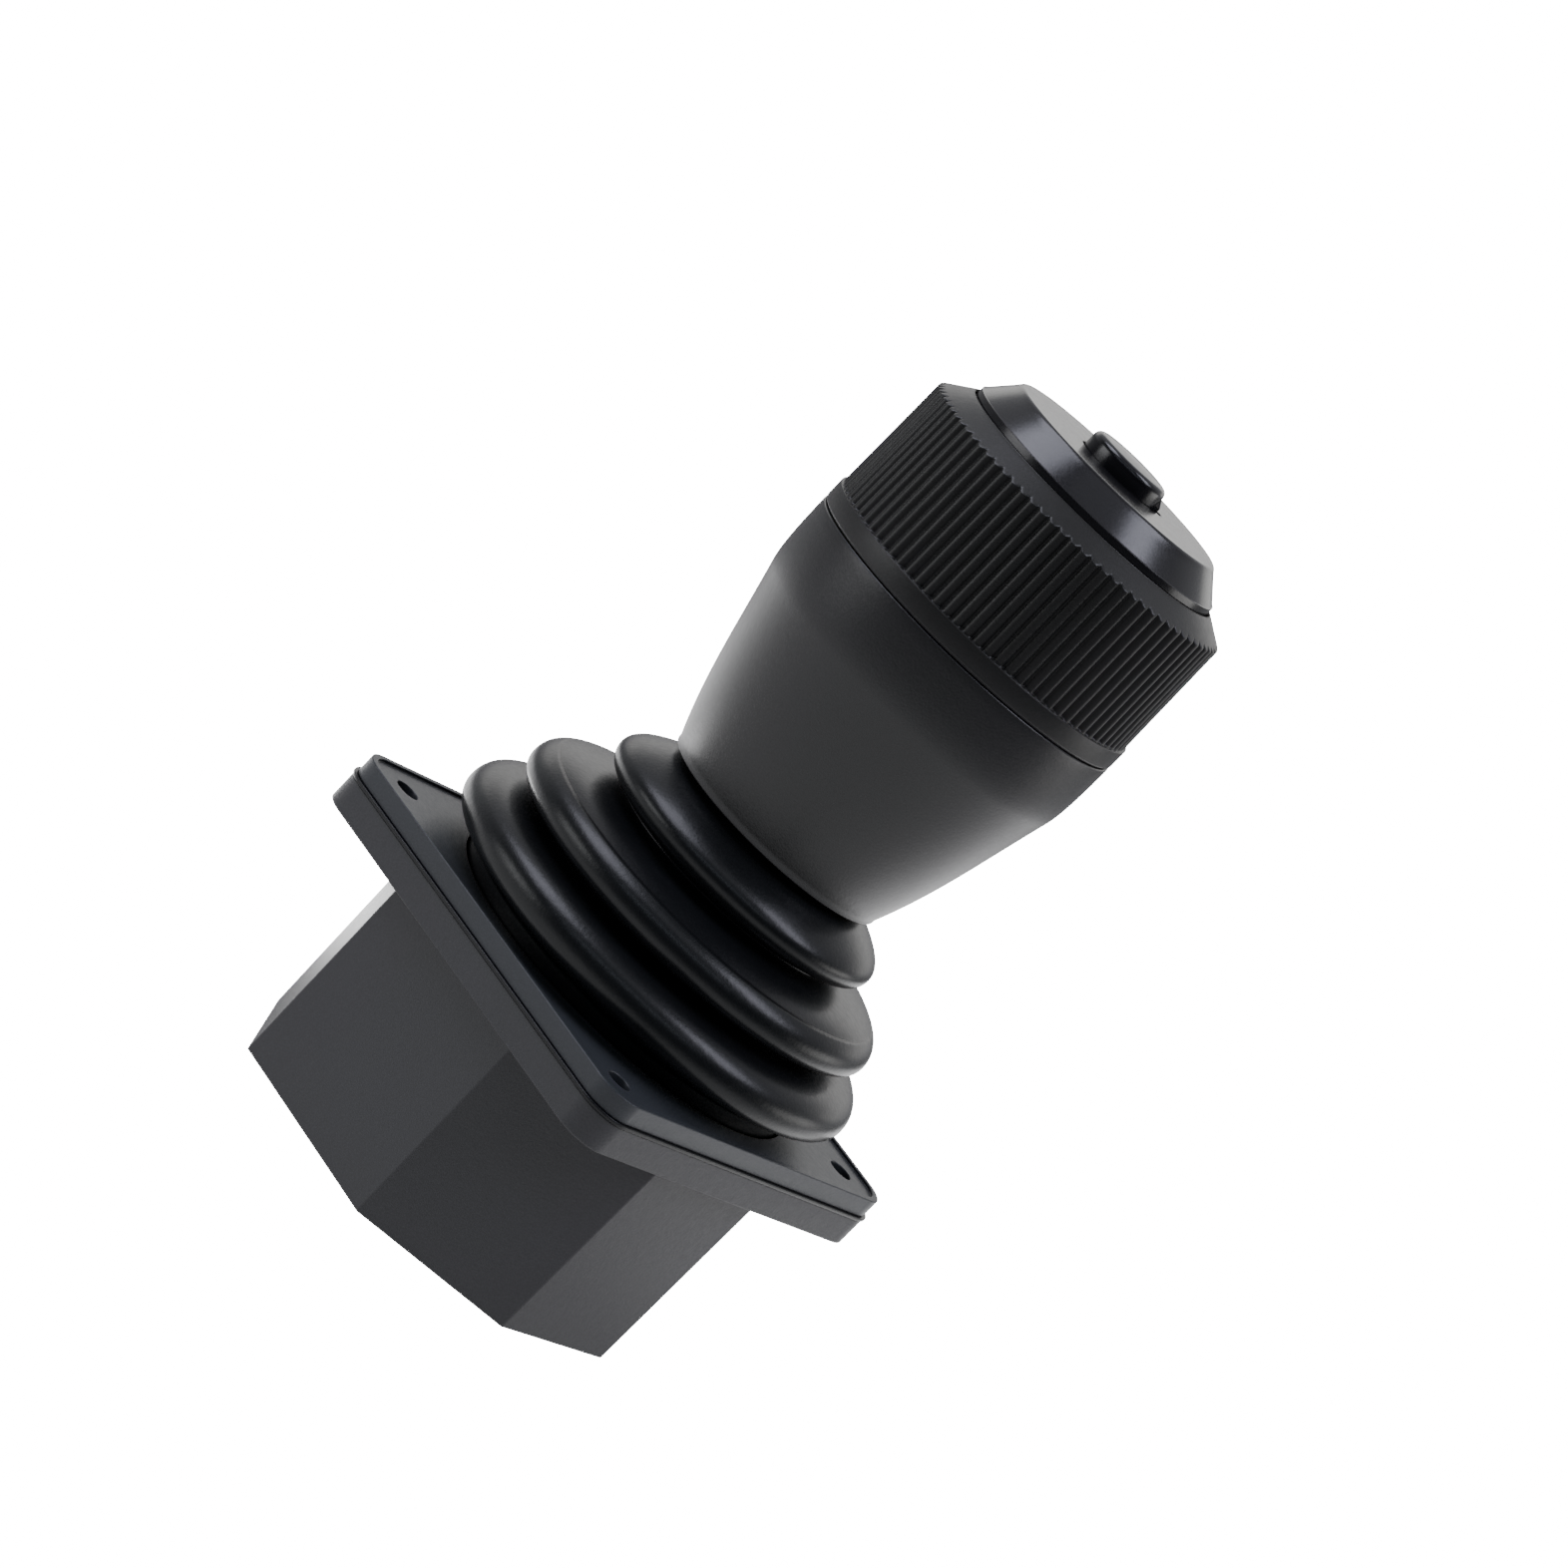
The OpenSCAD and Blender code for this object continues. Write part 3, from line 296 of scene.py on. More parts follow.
def placeCamera(s):
    turn, pitch, yaw, roll = [math.radians(s[k]) for k in ("turn", "pitch", "yaw", "roll")]
    ahead = Vector((-math.sin(turn), math.cos(turn), 0))
    side = Vector((math.cos(turn), math.sin(turn), 0))
    level = ahead * math.cos(yaw) + side * math.sin(yaw)
    right = side * math.cos(yaw) - ahead * math.sin(yaw)
    top = Vector((0, 0, 1))
    forward = level * math.cos(pitch) - top * math.sin(pitch)
    up = top * math.cos(pitch) + level * math.sin(pitch)
    cameraRight = right * math.cos(roll) + up * math.sin(roll)
    cameraUp = up * math.cos(roll) - right * math.sin(roll)
    data = bpy.data.cameras.new("studioCamera")
    data.lens = s["lens"]
    data.sensor_width = s["sensor"]
    data.clip_start = s["nearest"]
    camera = bpy.data.objects.new("studioCamera", data)
    bpy.context.scene.collection.objects.link(camera)
    place = -ahead * s["away"] * mm + top * s["height"] * mm
    basis = Matrix((cameraRight, cameraUp, -forward)).transposed().to_4x4()
    camera.matrix_world = Matrix.Translation(place) @ basis
    bpy.context.scene.camera = camera
    return ahead, side


ahead, side = placeCamera(cameraSet)
print("stage: camera")


# Studio.

studio = {
    "backdrop": 18.0,                # brightness of the room and floor as the camera sees them
    "room": (0.95, 0.96, 1.0),
    "behind": 0.55, "beside": 0.16, "front": 0.05,      # room brightness round the object
    "roomStops": (0.38, 0.55, 0.80),                    # where front ends, beside is, and behind starts
    "floorSize": 8.0, "floorDrop": 0.0002, "floorColour": (0.22, 0.22, 0.22), "floorRough": 0.9,
    "floorGlow": 0.72, "farGlow": 0.02, "pool": (0.12, 0.42),      # the glow fades between the two distances
    "glowBehind": 4.6, "glowTurn": (-0.02, 0.22),       # how much brighter the floor is behind the object
    "aim": (0, 0, 0.03),                                # where every light points
    # floor cards: across, behind, full brightness within, gone beyond (metres), brightness
    "cards": ((-0.066, 0.062, 0.02, 0.055, 15.0), (0.095, 0.04, 0.02, 0.08, 1.0)),
    # name: centre (across, towards the camera, up), width, height, power, colour
    "lights": {
        "leftBox": ((-0.58, 0.02, 0.86), 0.62, 0.5, 5.3, (0.85, 0.86, 1.0)),
        "rightBox": ((0.58, 0.12, 0.86), 0.36, 0.62, 4.6, (0.85, 0.86, 1.0)),
        "backBox": ((0.0, -1.1, 0.36), 2.0, 0.34, 2.0, (1.0, 0.98, 0.93)),
        "lowRight": ((0.88, -0.30, 0.03), 0.5, 0.4, 1.5, (1.0, 0.99, 0.97)),
        "lowLeft": ((-0.9, 0.30, 0.05), 0.5, 0.4, 2.1, (0.97, 0.98, 1.0)),
        "frontStrip": ((0.0, 0.66, 0.62), 1.3, 0.06, 0.85, (0.80, 0.87, 1.0)),
        "topSoft": ((0.0, 0.33, 1.0), 0.5, 0.4, 0.45, (0.9, 0.92, 1.0)),
    },
}


def addLight(name, place, width, height, power, colour, target):
    data = bpy.data.lights.new(name, "AREA")
    data.shape = "RECTANGLE"
    data.size = width
    data.size_y = height
    data.energy = power
    data.color = colour
    light = bpy.data.objects.new(name, data)
    bpy.context.scene.collection.objects.link(light)
    across, near, up = place
    light.location = side * across - ahead * near + Vector((0, 0, up))
    light.rotation_euler = (target - light.location).to_track_quat("-Z", "Y").to_euler()


def buildWorld(s):
    # brightness follows the direction: dark on the near side, pale beside, bright behind the object
    world = bpy.data.worlds.new("softRoom")
    world.use_nodes = True
    tree = world.node_tree
    background = tree.nodes["Background"]
    background.inputs["Color"].default_value = (*s["room"], 1)
    where = addNode(tree, "ShaderNodeTexCoord")
    along = vectorMaths(tree, "DOT_PRODUCT", where.outputs["Generated"], ahead)
    ramp = addNode(tree, "ShaderNodeFloatCurve")
    curve = ramp.mapping.curves[0]
    nearShare, sideShare = s["front"] / s["behind"], s["beside"] / s["behind"]
    curve.points[0].location = (0.0, nearShare)
    curve.points[1].location = (1.0, 1.0)
    for stop, share in zip(s["roomStops"], (nearShare, sideShare, 1.0)):
        curve.points.new(stop, share)
    ramp.mapping.update()
    feed(tree, ramp.inputs["Value"], maths(tree, "MULTIPLY_ADD", along, 0.5, 0.5))
    path = addNode(tree, "ShaderNodeLightPath")
    pick = addNode(tree, "ShaderNodeMix")
    feed(tree, pick.inputs[0], path.outputs["Is Camera Ray"])
    feed(tree, pick.inputs[2], maths(tree, "MULTIPLY", ramp.outputs[0], s["behind"]))
    feed(tree, pick.inputs[3], s["backdrop"])
    feed(tree, background.inputs["Strength"], pick.outputs[0])
    bpy.context.scene.world = world


def buildFloor(s):
    low = cadBounds[0][2] - s["floorDrop"]
    half = s["floorSize"] / 2
    floor = addObject("floor", meshFromGrid("floor", np.array(
        [[[-half, -half, low], [half, -half, low]], [[-half, half, low], [half, half, low]]]), closeU=False))
    material = bpy.data.materials.new("paleFloor")
    material.use_nodes = True
    tree = material.node_tree
    shader = tree.nodes["Principled BSDF"]
    shader.inputs["Base Color"].default_value = (*s["floorColour"], 1)
    shader.inputs["Roughness"].default_value = s["floorRough"]
    shader.inputs["Emission Color"].default_value = (1, 1, 1, 1)
    # a pool of light round the object, brighter behind it
    where = addNode(tree, "ShaderNodeTexCoord").outputs["Object"]
    pool = easedRange(tree, vectorMaths(tree, "LENGTH", where), *s["pool"], s["floorGlow"], s["farGlow"])
    behind = vectorMaths(tree, "DOT_PRODUCT", where, ahead)
    back = easedRange(tree, behind, *s["glowTurn"], 1.0, s["glowBehind"])
    total = maths(tree, "MULTIPLY", pool, back)
    # bright cards lie on the floor close to the housing: each fades out round its centre
    for across, beyond, inner, outer, strength in s["cards"]:
        away = vectorMaths(tree, "DISTANCE", where, side * across + ahead * beyond)
        total = maths(tree, "ADD", total, easedRange(tree, away, inner, outer, strength, 0.0))
    path = addNode(tree, "ShaderNodeLightPath")
    glow = addNode(tree, "ShaderNodeMix")
    feed(tree, glow.inputs[0], path.outputs["Is Camera Ray"])
    feed(tree, glow.inputs[2], total)
    feed(tree, glow.inputs[3], s["backdrop"])
    feed(tree, shader.inputs["Emission Strength"], glow.outputs[0])
    # from below the floor is clear, so that the underside can be looked at
    facing = addNode(tree, "ShaderNodeNewGeometry")
    feed(tree, shader.inputs["Alpha"], maths(tree, "SUBTRACT", 1.0, facing.outputs["Backfacing"]))
    addMaterial(floor, material)


buildWorld(studio)
buildFloor(studio)
for lightName, lightValues in studio["lights"].items():
    addLight(lightName, *lightValues, Vector(studio["aim"]))
print("stage: studio")


# Shared effects, as node groups.

def makeSkinGroup(fineShare=0.65, coarseScale=0.31, speckScale=17.0):
    # moulded skin: a fine eroded grain as height, and slow cloudy drifts of tone and gloss
    group, start, end = newGroup(
        "mouldedSkin",
        [("Vector", "NodeSocketVector", None), ("Grain Scale", "NodeSocketFloat", 3000.0),
         ("Cloud Scale", "NodeSocketFloat", 60.0)],
        [("Height", "NodeSocketFloat"), ("Cloud", "NodeSocketFloat"), ("Speck", "NodeSocketFloat")])
    where, grain, clouds = [start.outputs[label] for label in ("Vector", "Grain Scale", "Cloud Scale")]
    fine = noise(group, where, grain, 2.0, 0.6)
    coarse = noise(group, where, maths(group, "MULTIPLY", grain, coarseScale), 2.0, 0.5)
    height = maths(group, "ADD", maths(group, "MULTIPLY", fine, fineShare),
                   maths(group, "MULTIPLY", coarse, 1 - fineShare))
    feed(group, end.inputs["Height"], height)
    feed(group, end.inputs["Cloud"], noise(group, where, clouds, 4.0, 0.55))
    speck = noise(group, where, maths(group, "MULTIPLY", clouds, speckScale), 3.0, 0.7)
    feed(group, end.inputs["Speck"], speck)
    return group


def makeEdgeGroup(spread=5.0, breakScale=420.0, leastBreak=0.25):
    # edge wear: where the rounded normal leaves the true one, broken up by noise
    group, start, end = newGroup(
        "edgeWear",
        [("Vector", "NodeSocketVector", None), ("Width", "NodeSocketFloat", 0.0004),
         ("Amount", "NodeSocketFloat", 1.0)],
        [("Mask", "NodeSocketFloat")])
    rounded = addNode(group, "ShaderNodeBevel", samples=4)
    feed(group, rounded.inputs["Radius"], start.outputs["Width"])
    true = addNode(group, "ShaderNodeNewGeometry")
    along = vectorMaths(group, "DOT_PRODUCT", rounded.outputs["Normal"], true.outputs["Normal"])
    edges = maths(group, "MULTIPLY", maths(group, "SUBTRACT", 1.0, along), spread, clamp=True)
    broken = maths(group, "ADD", noise(group, start.outputs["Vector"], breakScale, 4.0, 0.6), leastBreak)
    mask = maths(group, "MULTIPLY", edges, broken, clamp=True)
    feed(group, end.inputs["Mask"], maths(group, "MULTIPLY", mask, start.outputs["Amount"], clamp=True))
    return group


def makeDustGroup(onTop=0.5, inCorners=0.35, cornerReach=0.006, patchScale=260.0):
    # dust: settles on faces that look up and in corners that see little of the room
    group, start, end = newGroup(
        "settledDust",
        [("Vector", "NodeSocketVector", None), ("Amount", "NodeSocketFloat", 1.0)],
        [("Mask", "NodeSocketFloat")])
    true = addNode(group, "ShaderNodeNewGeometry")
    split = addNode(group, "ShaderNodeSeparateXYZ")
    feed(group, split.inputs[0], true.outputs["Normal"])
    upward = maths(group, "POWER", maths(group, "MAXIMUM", split.outputs["Z"], 0.0), 3.0)
    hollow = addNode(group, "ShaderNodeAmbientOcclusion", samples=6)
    hollow.inputs["Distance"].default_value = cornerReach
    shade = maths(group, "SUBTRACT", 1.0, hollow.outputs["AO"])
    both = maths(group, "ADD", maths(group, "MULTIPLY", upward, onTop),
                 maths(group, "MULTIPLY", shade, inCorners))
    patchy = noise(group, start.outputs["Vector"], patchScale, 5.0, 0.65)
    mask = maths(group, "MULTIPLY", both, patchy, clamp=True)
    feed(group, end.inputs["Mask"], maths(group, "MULTIPLY", mask, start.outputs["Amount"], clamp=True))
    return group


skinGroup = makeSkinGroup()
edgeGroup = makeEdgeGroup()
dustGroup = makeDustGroup()


def useGroup(tree, group, coordinates, **values):
    node = addNode(tree, "ShaderNodeGroup", node_tree=group)
    feed(tree, node.inputs["Vector"], coordinates)
    for key, value in values.items():
        node.inputs[key].default_value = value
    return node


def mouldedMaterial(name, base, worn, dust, rough, roughDrift, grainScale, grainDepth,
                    cloudDrift=0.25, wear=0.5, dustAmount=0.35, dustDull=0.3, coat=0.0, coatRough=0.1,
                    specular=0.5, metal=0.0, drag=None):
    # rough is 0 for a mirror and 1 for chalk; drag stretches the grain along an axis, as brushing does
    material = bpy.data.materials.new(name)
    material.use_nodes = True
    tree = material.node_tree
    shader = tree.nodes["Principled BSDF"]
    where = addNode(tree, "ShaderNodeTexCoord").outputs["Object"]
    grainAt = where
    if drag:
        stretched = addNode(tree, "ShaderNodeMapping")
        stretched.inputs["Scale"].default_value = drag
        feed(tree, stretched.inputs["Vector"], where)
        grainAt = stretched.outputs["Vector"]
    skin = useGroup(tree, skinGroup, grainAt, **{"Grain Scale": grainScale})
    edge = useGroup(tree, edgeGroup, where, Amount=wear).outputs["Mask"]
    settled = useGroup(tree, dustGroup, where, Amount=dustAmount).outputs["Mask"]
    lighter = tuple(min(1.0, c * (1 + cloudDrift)) for c in base)
    darker = tuple(c * (1 - cloudDrift) for c in base)
    colour = mixColour(tree, skin.outputs["Cloud"], darker, lighter)
    colour = mixColour(tree, edge, colour, worn)
    colour = mixColour(tree, settled, colour, dust)
    uneven = maths(tree, "ADD", rough - roughDrift / 2,
                   maths(tree, "MULTIPLY", skin.outputs["Speck"], roughDrift))
    uneven = maths(tree, "ADD", uneven, maths(tree, "MULTIPLY", settled, dustDull), clamp=True)
    bump = addNode(tree, "ShaderNodeBump")
    bump.inputs["Distance"].default_value = grainDepth
    bump.inputs["Strength"].default_value = 1.0
    feed(tree, bump.inputs["Height"], skin.outputs["Height"])
    feed(tree, shader.inputs["Normal"], bump.outputs["Normal"])
    feed(tree, shader.inputs["Base Color"], colour)
    feed(tree, shader.inputs["Roughness"], uneven)
    for label, value in (("Metallic", metal), ("Specular IOR Level", specular), ("Coat Weight", coat),
                         ("Coat Roughness", coatRough)):
        shader.inputs[label].default_value = value
    return material


dustTone = (0.14, 0.135, 0.12)
finishes = {
    "housing_plastic": dict(base=(0.037, 0.0372, 0.0412), worn=(0.09, 0.09, 0.095), dust=dustTone, rough=0.52,
                            roughDrift=0.12, grainScale=2600, grainDepth=0.00005, cloudDrift=0.10, wear=0.35,
                            dustAmount=0.12, specular=0.45),
    "bezel_plastic": dict(base=(0.026, 0.030, 0.036), worn=(0.05, 0.055, 0.06), dust=dustTone, rough=0.42,
                          roughDrift=0.12, grainScale=3200, grainDepth=0.00003, cloudDrift=0.12, wear=0.4,
                          dustAmount=0.12),
    "gaiter_rubber": dict(base=(0.0055, 0.0062, 0.0074), worn=(0.02, 0.021, 0.024), dust=(0.07, 0.07, 0.068),
                          rough=0.31, roughDrift=0.12, grainScale=1800, grainDepth=0.00003, cloudDrift=0.2,
                          wear=0.1, dustAmount=0.06, specular=0.36),
    "grip_plastic": dict(base=(0.0095, 0.0095, 0.0104), worn=(0.04, 0.04, 0.042), dust=dustTone, rough=0.36,
                         roughDrift=0.08, grainScale=3600, grainDepth=0.00003, cloudDrift=0.06, wear=0.2,
                         dustAmount=0.03, specular=0.6),
    "ring_plastic": dict(base=(0.0088, 0.0088, 0.0086), worn=(0.05, 0.052, 0.054), dust=dustTone, rough=0.40,
                         roughDrift=0.12, grainScale=3200, grainDepth=0.00002, cloudDrift=0.1, wear=0.2,
                         dustAmount=0.05),
    "cap_plastic": dict(base=(0.006, 0.006, 0.008), worn=(0.03, 0.03, 0.035), dust=dustTone, rough=0.22,
                        roughDrift=0.08, grainScale=2600, grainDepth=0.00001, cloudDrift=0.1, wear=0.2,
                        dustAmount=0.08),
    "connector_plastic": dict(base=(0.012, 0.012, 0.013), worn=(0.04, 0.04, 0.04), dust=dustTone, rough=0.38,
                              roughDrift=0.1, grainScale=3000, grainDepth=0.00002),
    "steel": dict(base=(0.55, 0.56, 0.57), worn=(0.72, 0.72, 0.72), dust=(0.2, 0.19, 0.17), rough=0.3,
                  roughDrift=0.2, grainScale=1500, grainDepth=0.00001, cloudDrift=0.08, metal=1.0,
                  drag=(1, 1, 0.08)),
    "ring_alloy": dict(base=(0.66, 0.67, 0.69), worn=(0.8, 0.8, 0.8), dust=(0.2, 0.19, 0.17), rough=0.36,
                       roughDrift=0.15, grainScale=1600, grainDepth=0.00001, cloudDrift=0.05, metal=1.0,
                       drag=(0.1, 1, 1)),
    "bronze": dict(base=(0.50, 0.33, 0.15), worn=(0.66, 0.48, 0.25), dust=(0.1, 0.08, 0.05), rough=0.42,
                   roughDrift=0.2, grainScale=2200, grainDepth=0.00003, cloudDrift=0.15, metal=1.0),
    "contact_metal": dict(base=(0.80, 0.60, 0.26), worn=(0.9, 0.75, 0.4), dust=(0.2, 0.17, 0.1), rough=0.22,
                          roughDrift=0.12, grainScale=2000, grainDepth=0.00001, cloudDrift=0.06, metal=1.0),
    "acetal": dict(base=(0.74, 0.72, 0.67), worn=(0.8, 0.79, 0.75), dust=(0.4, 0.38, 0.33), rough=0.35,
                   roughDrift=0.1, grainScale=2400, grainDepth=0.00001, cloudDrift=0.04),
    "circuit_board": dict(base=(0.02, 0.12, 0.05), worn=(0.2, 0.25, 0.12), dust=dustTone, rough=0.25,
                          roughDrift=0.15, grainScale=1200, grainDepth=0.00002, cloudDrift=0.15, coat=0.4),
    "chip_plastic": dict(base=(0.016, 0.016, 0.017), worn=(0.04, 0.04, 0.04), dust=dustTone, rough=0.5,
                         roughDrift=0.1, grainScale=3000, grainDepth=0.00002),
    "magnet": dict(base=(0.50, 0.50, 0.52), worn=(0.65, 0.65, 0.66), dust=(0.2, 0.19, 0.17), rough=0.22,
                   roughDrift=0.1, grainScale=1800, grainDepth=0.00001, cloudDrift=0.06, metal=1.0),
}
materials = {slot: mouldedMaterial(slot, **values) for slot, values in finishes.items()}
for part in frame["record"]["subparts"]:
    addMaterial(frame["nodes"][part["node"]], materials[part["material_slot"]])
print("stage: materials", len(materials))


# Gaiter.

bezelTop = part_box("bezel")[1].z
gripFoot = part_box("grip_body")[0].z

gaiter = {
    "wall": 1.0,
    "base": (25.8, 1.2),          # outer radius, and height above the bezel
    "tips": ((31.2, 12.4), (27.7, 19.9), (20.8, 28.1)),      # outer radius and height of each fold
    "valleys": ((22.3, 17.3), (16.9, 25.3)),
    "neck": (8.5, 37.5), "neckTop": 41.5, "neckRows": 6,
    "bead": (0.9, 0.9, 0.1),      # how far it stands out, and its foot and top below the neck's top
    "leave": (2.0, 1.6, 1.4),     # how straight the rubber leaves below each fold
    "tipUnder": (2.8, 2.5, 2.4), "tipOver": (4.9, 4.7, 2.8),
    "valleyOver": (2.1, 2.1, 4.2),
    "columns": 192, "steps": 26,
    "seam": 0.30,                 # share of the middle fold's upper flank where the two pieces meet
    "sheetWidth": 62.4, "sheetCorner": 4.8, "sheet": (4.1, 4.55), "sheetEdge": 0.1,
    "hole": 1.6, "holeAt": 25.25, "holeColumns": 24,
    "rootIn": 0.1, "rootOut": 1.0,      # the wall starts above the sheet's underside, and clears its top
    "lowerBend": (7.0, 22.2), "upperBend": (23.1, 34.0),      # two heights for each piece, low and high
}


def gaiterLine(g):
    # the rubber's middle line as joined cubic curves: base, fold, valley, fold, valley, fold, neck
    half = g["wall"] / 2
    base = np.array([g["base"][0] - half, bezelTop / mm + g["base"][1]])
    tips = [np.array([r - half, z]) for r, z in g["tips"]]
    stops = [base, tips[0], np.array(g["valleys"][0]), tips[1], np.array(g["valleys"][1]), tips[2],
             np.array(g["neck"])]

    def up(value):
        return np.array([0, value])

    curves = []
    for k in range(3):
        valley, tip, nextValley = stops[2 * k:2 * k + 3]
        curves.append((valley, valley + up(g["leave"][k]), tip - up(g["tipUnder"][k]), tip))
        curves.append((tip, tip + up(g["tipOver"][k]), nextValley - up(g["valleyOver"][k]), nextValley))
    root = np.array([[base[0], g["sheet"][0] + g["rootIn"]], [base[0], g["sheet"][1] + g["rootOut"]]])
    neck = np.array([[g["neck"][0], z] for z in np.linspace(g["neck"][1], g["neckTop"], g["neckRows"])])
    return np.concatenate([root] + [bezierPoints(curve, g["steps"] + 1)[:-1] for curve in curves] + [neck])


def besideLine(line, distance):
    # each point moves sideways by a distance, square to the line's direction there
    slope = np.gradient(line, axis=0)
    slope /= np.linalg.norm(slope, axis=1, keepdims=True)
    return line + distance * np.stack([slope[:, 1], -slope[:, 0]], axis=1)


def buildGaiter(g):
    line = gaiterLine(g)
    outer = besideLine(line, g["wall"] / 2)
    inner = besideLine(line, -g["wall"] / 2)
    rootRows, curvesBelow = 2, 3
    seam = rootRows + int((curvesBelow + g["seam"]) * g["steps"])
    last = len(line) - 1
    out, foot, top = g["bead"]
    bead = np.array([[outer[last, 0] + out, g["neckTop"] - foot], [outer[last, 0] + out, g["neckTop"] - top]])
    lower = np.concatenate([outer[:seam + 1], inner[:seam + 1][::-1]])
    upper = np.concatenate([outer[seam:last - 1], bead, inner[seam:][::-1]])
    for name, section, bodies, heights in (
            ("gaiterLower", lower, ("base", "gimbal"), g["lowerBend"]),
            ("gaiterUpper", upper, ("gimbal", "stick"), g["upperBend"])):
        piece = revolve(name, section * mm, g["columns"])
        addMaterial(piece, materials["gaiter_rubber"])
        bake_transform(piece)
        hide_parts("gaiter")
    holeAt = g["holeAt"] * mm
    holes = [(x * holeAt, y * holeAt, g["hole"] * mm, g["holeColumns"]) for x in (-1, 1) for y in (-1, 1)]
    holes.append((0, 0, (g["base"][0] - g["wall"]) * mm, g["columns"]))
    sheet = plateWithHoles("gaiterSheet", g["sheetWidth"] * mm, g["sheetCorner"] * mm, holes,
                           g["sheet"][0] * mm, g["sheet"][1] * mm, g["sheetEdge"] * mm)
    finishPiece(sheet, "base", ["gaiter"], materials["gaiter_rubber"])


buildGaiter(gaiter)
print("stage: gaiter")


# Housing, bezel and cover.

# node, finish and width of the rounded edges in mm
shells = {
    "housingShell": ("housing", "housing_plastic", 0.22),
    "bezelFrame": ("bezel", "bezel_plastic", 0.16),
    "coverPlate": ("bottom_cover", "housing_plastic", 0.15),
}
for pieceName, (node, slotName, edgeWidth) in shells.items():
    shell = softenedCopy(pieceName, node, edgeWidth * mm, soften)
    finishPiece(shell, "base", [node], materials[slotName])
print("stage: housing")


# Grip.

grip = {
    # radius and height above the grip's foot
    "foot": (16.2, 0.6), "footPull": (3.2, 7.8), "sideRows": (40, 24),
    "bend": (22.8, 23.86), "bendPull": (2.1, 8.0), "bendOut": (0.5, 2.1),
    "top": (23.4, 33.6), "topPull": (0.02, 4.4),
    "wall": 3.0, "columns": 256, "rimRound": 0.45, "topRound": 0.3,
    # inside: the rim's lip, the seat that the nut clamps, then the wall up to the top
    "lip": ((-2.0, 0), (-2.3, 1.4)), "lipRound": (0.3, 0.3),
    "seat": ((10.4, 5.4), (10.4, 9.2), (8.0, 9.2), (8.0, 3.6), (4.0, 3.6), (4.0, 11.2)),
    "seatRound": (0.6, 0.3, 0.3, 0.2, 0.2, 0.2), "floor": 11.2, "shelf": 25.0, "wallRound": 0.6,
    "join": (6.0, 6.2),      # the outline starts and ends this far below the top
}


def buildGrip(g):
    def at(r, z):
        return np.array([r, gripFoot / mm + z])

    foot, bend, top = at(*g["foot"]), at(*g["bend"]), at(*g["top"])
    side = np.concatenate([
        bezierPoints((foot, foot + g["footPull"], bend - g["bendPull"], bend), g["sideRows"][0])[:-1],
        bezierPoints((bend, bend + g["bendOut"], top - g["topPull"], top), g["sideRows"][1])])
    footRadius, topHeight = g["foot"][0], g["top"][1]
    inner = g["top"][0] - g["wall"]
    rim = roundCorners([at(inner, topHeight - g["join"][0]), at(inner, topHeight), side[-1], side[-3]],
                       [0, 0.2, g["topRound"], 0])[:-1]
    inside = roundCorners(
        [side[0], at(footRadius, 0), *(at(footRadius + r, z) for r, z in g["lip"]),
         *(at(r, z) for r, z in g["seat"]), at(footRadius - g["wall"] + 1, g["floor"]),
         at(inner, g["shelf"]), at(inner, topHeight - g["join"][1])],
        [0, g["rimRound"], *g["lipRound"], *g["seatRound"], g["wallRound"], g["wallRound"], 0])[1:]
    section = np.concatenate([rim, side[-4::-1], inside])
    piece = revolve("gripShell", section[::-1] * mm, g["columns"])
    finishPiece(piece, "stick", ["grip_body"], materials["grip_plastic"])


buildGrip(grip)
print("stage: grip")


# Twist ring.

ring = {
    "foot": 67.2, "radius": 23.4, "wall": 2.8, "register": (23.12, 67.0), "edge": 0.34,
    "ribLow": 69.8, "ribHigh": 85.9, "crestLow": 23.18, "crestHigh": 22.93,
    "ribs": 86, "perRib": 10, "depth": 0.64, "sharpness": 1.8, "soft": 0.3, "runIn": (0.02, 0.16),
    "shoulder": (19.3, 88.3), "shoulderInset": 0.2, "lip": 19.15, "lipDrop": 0.4,
    "capWell": (17.85, 86.2), "capFloor": (80.0, 79.0), "innerHeights": (71.0, 71.4),
    "web": (74.0, 76.5), "hub": (12.2, 71.0), "bore": 10.64,
    "startRows": (0.08, 0.16, 0.24, 0.34), "crestRows": 14, "crestEnds": (0.45, 0.1),
    # rows up the shoulder, as shares of it: close together where the ribs run out
    "shoulderRows": ((0, 0.26, 20), (0.32, 0.97, 7)),
    "ribbedBeyond": 19.2,      # only what lies further out than this is ribbed
}


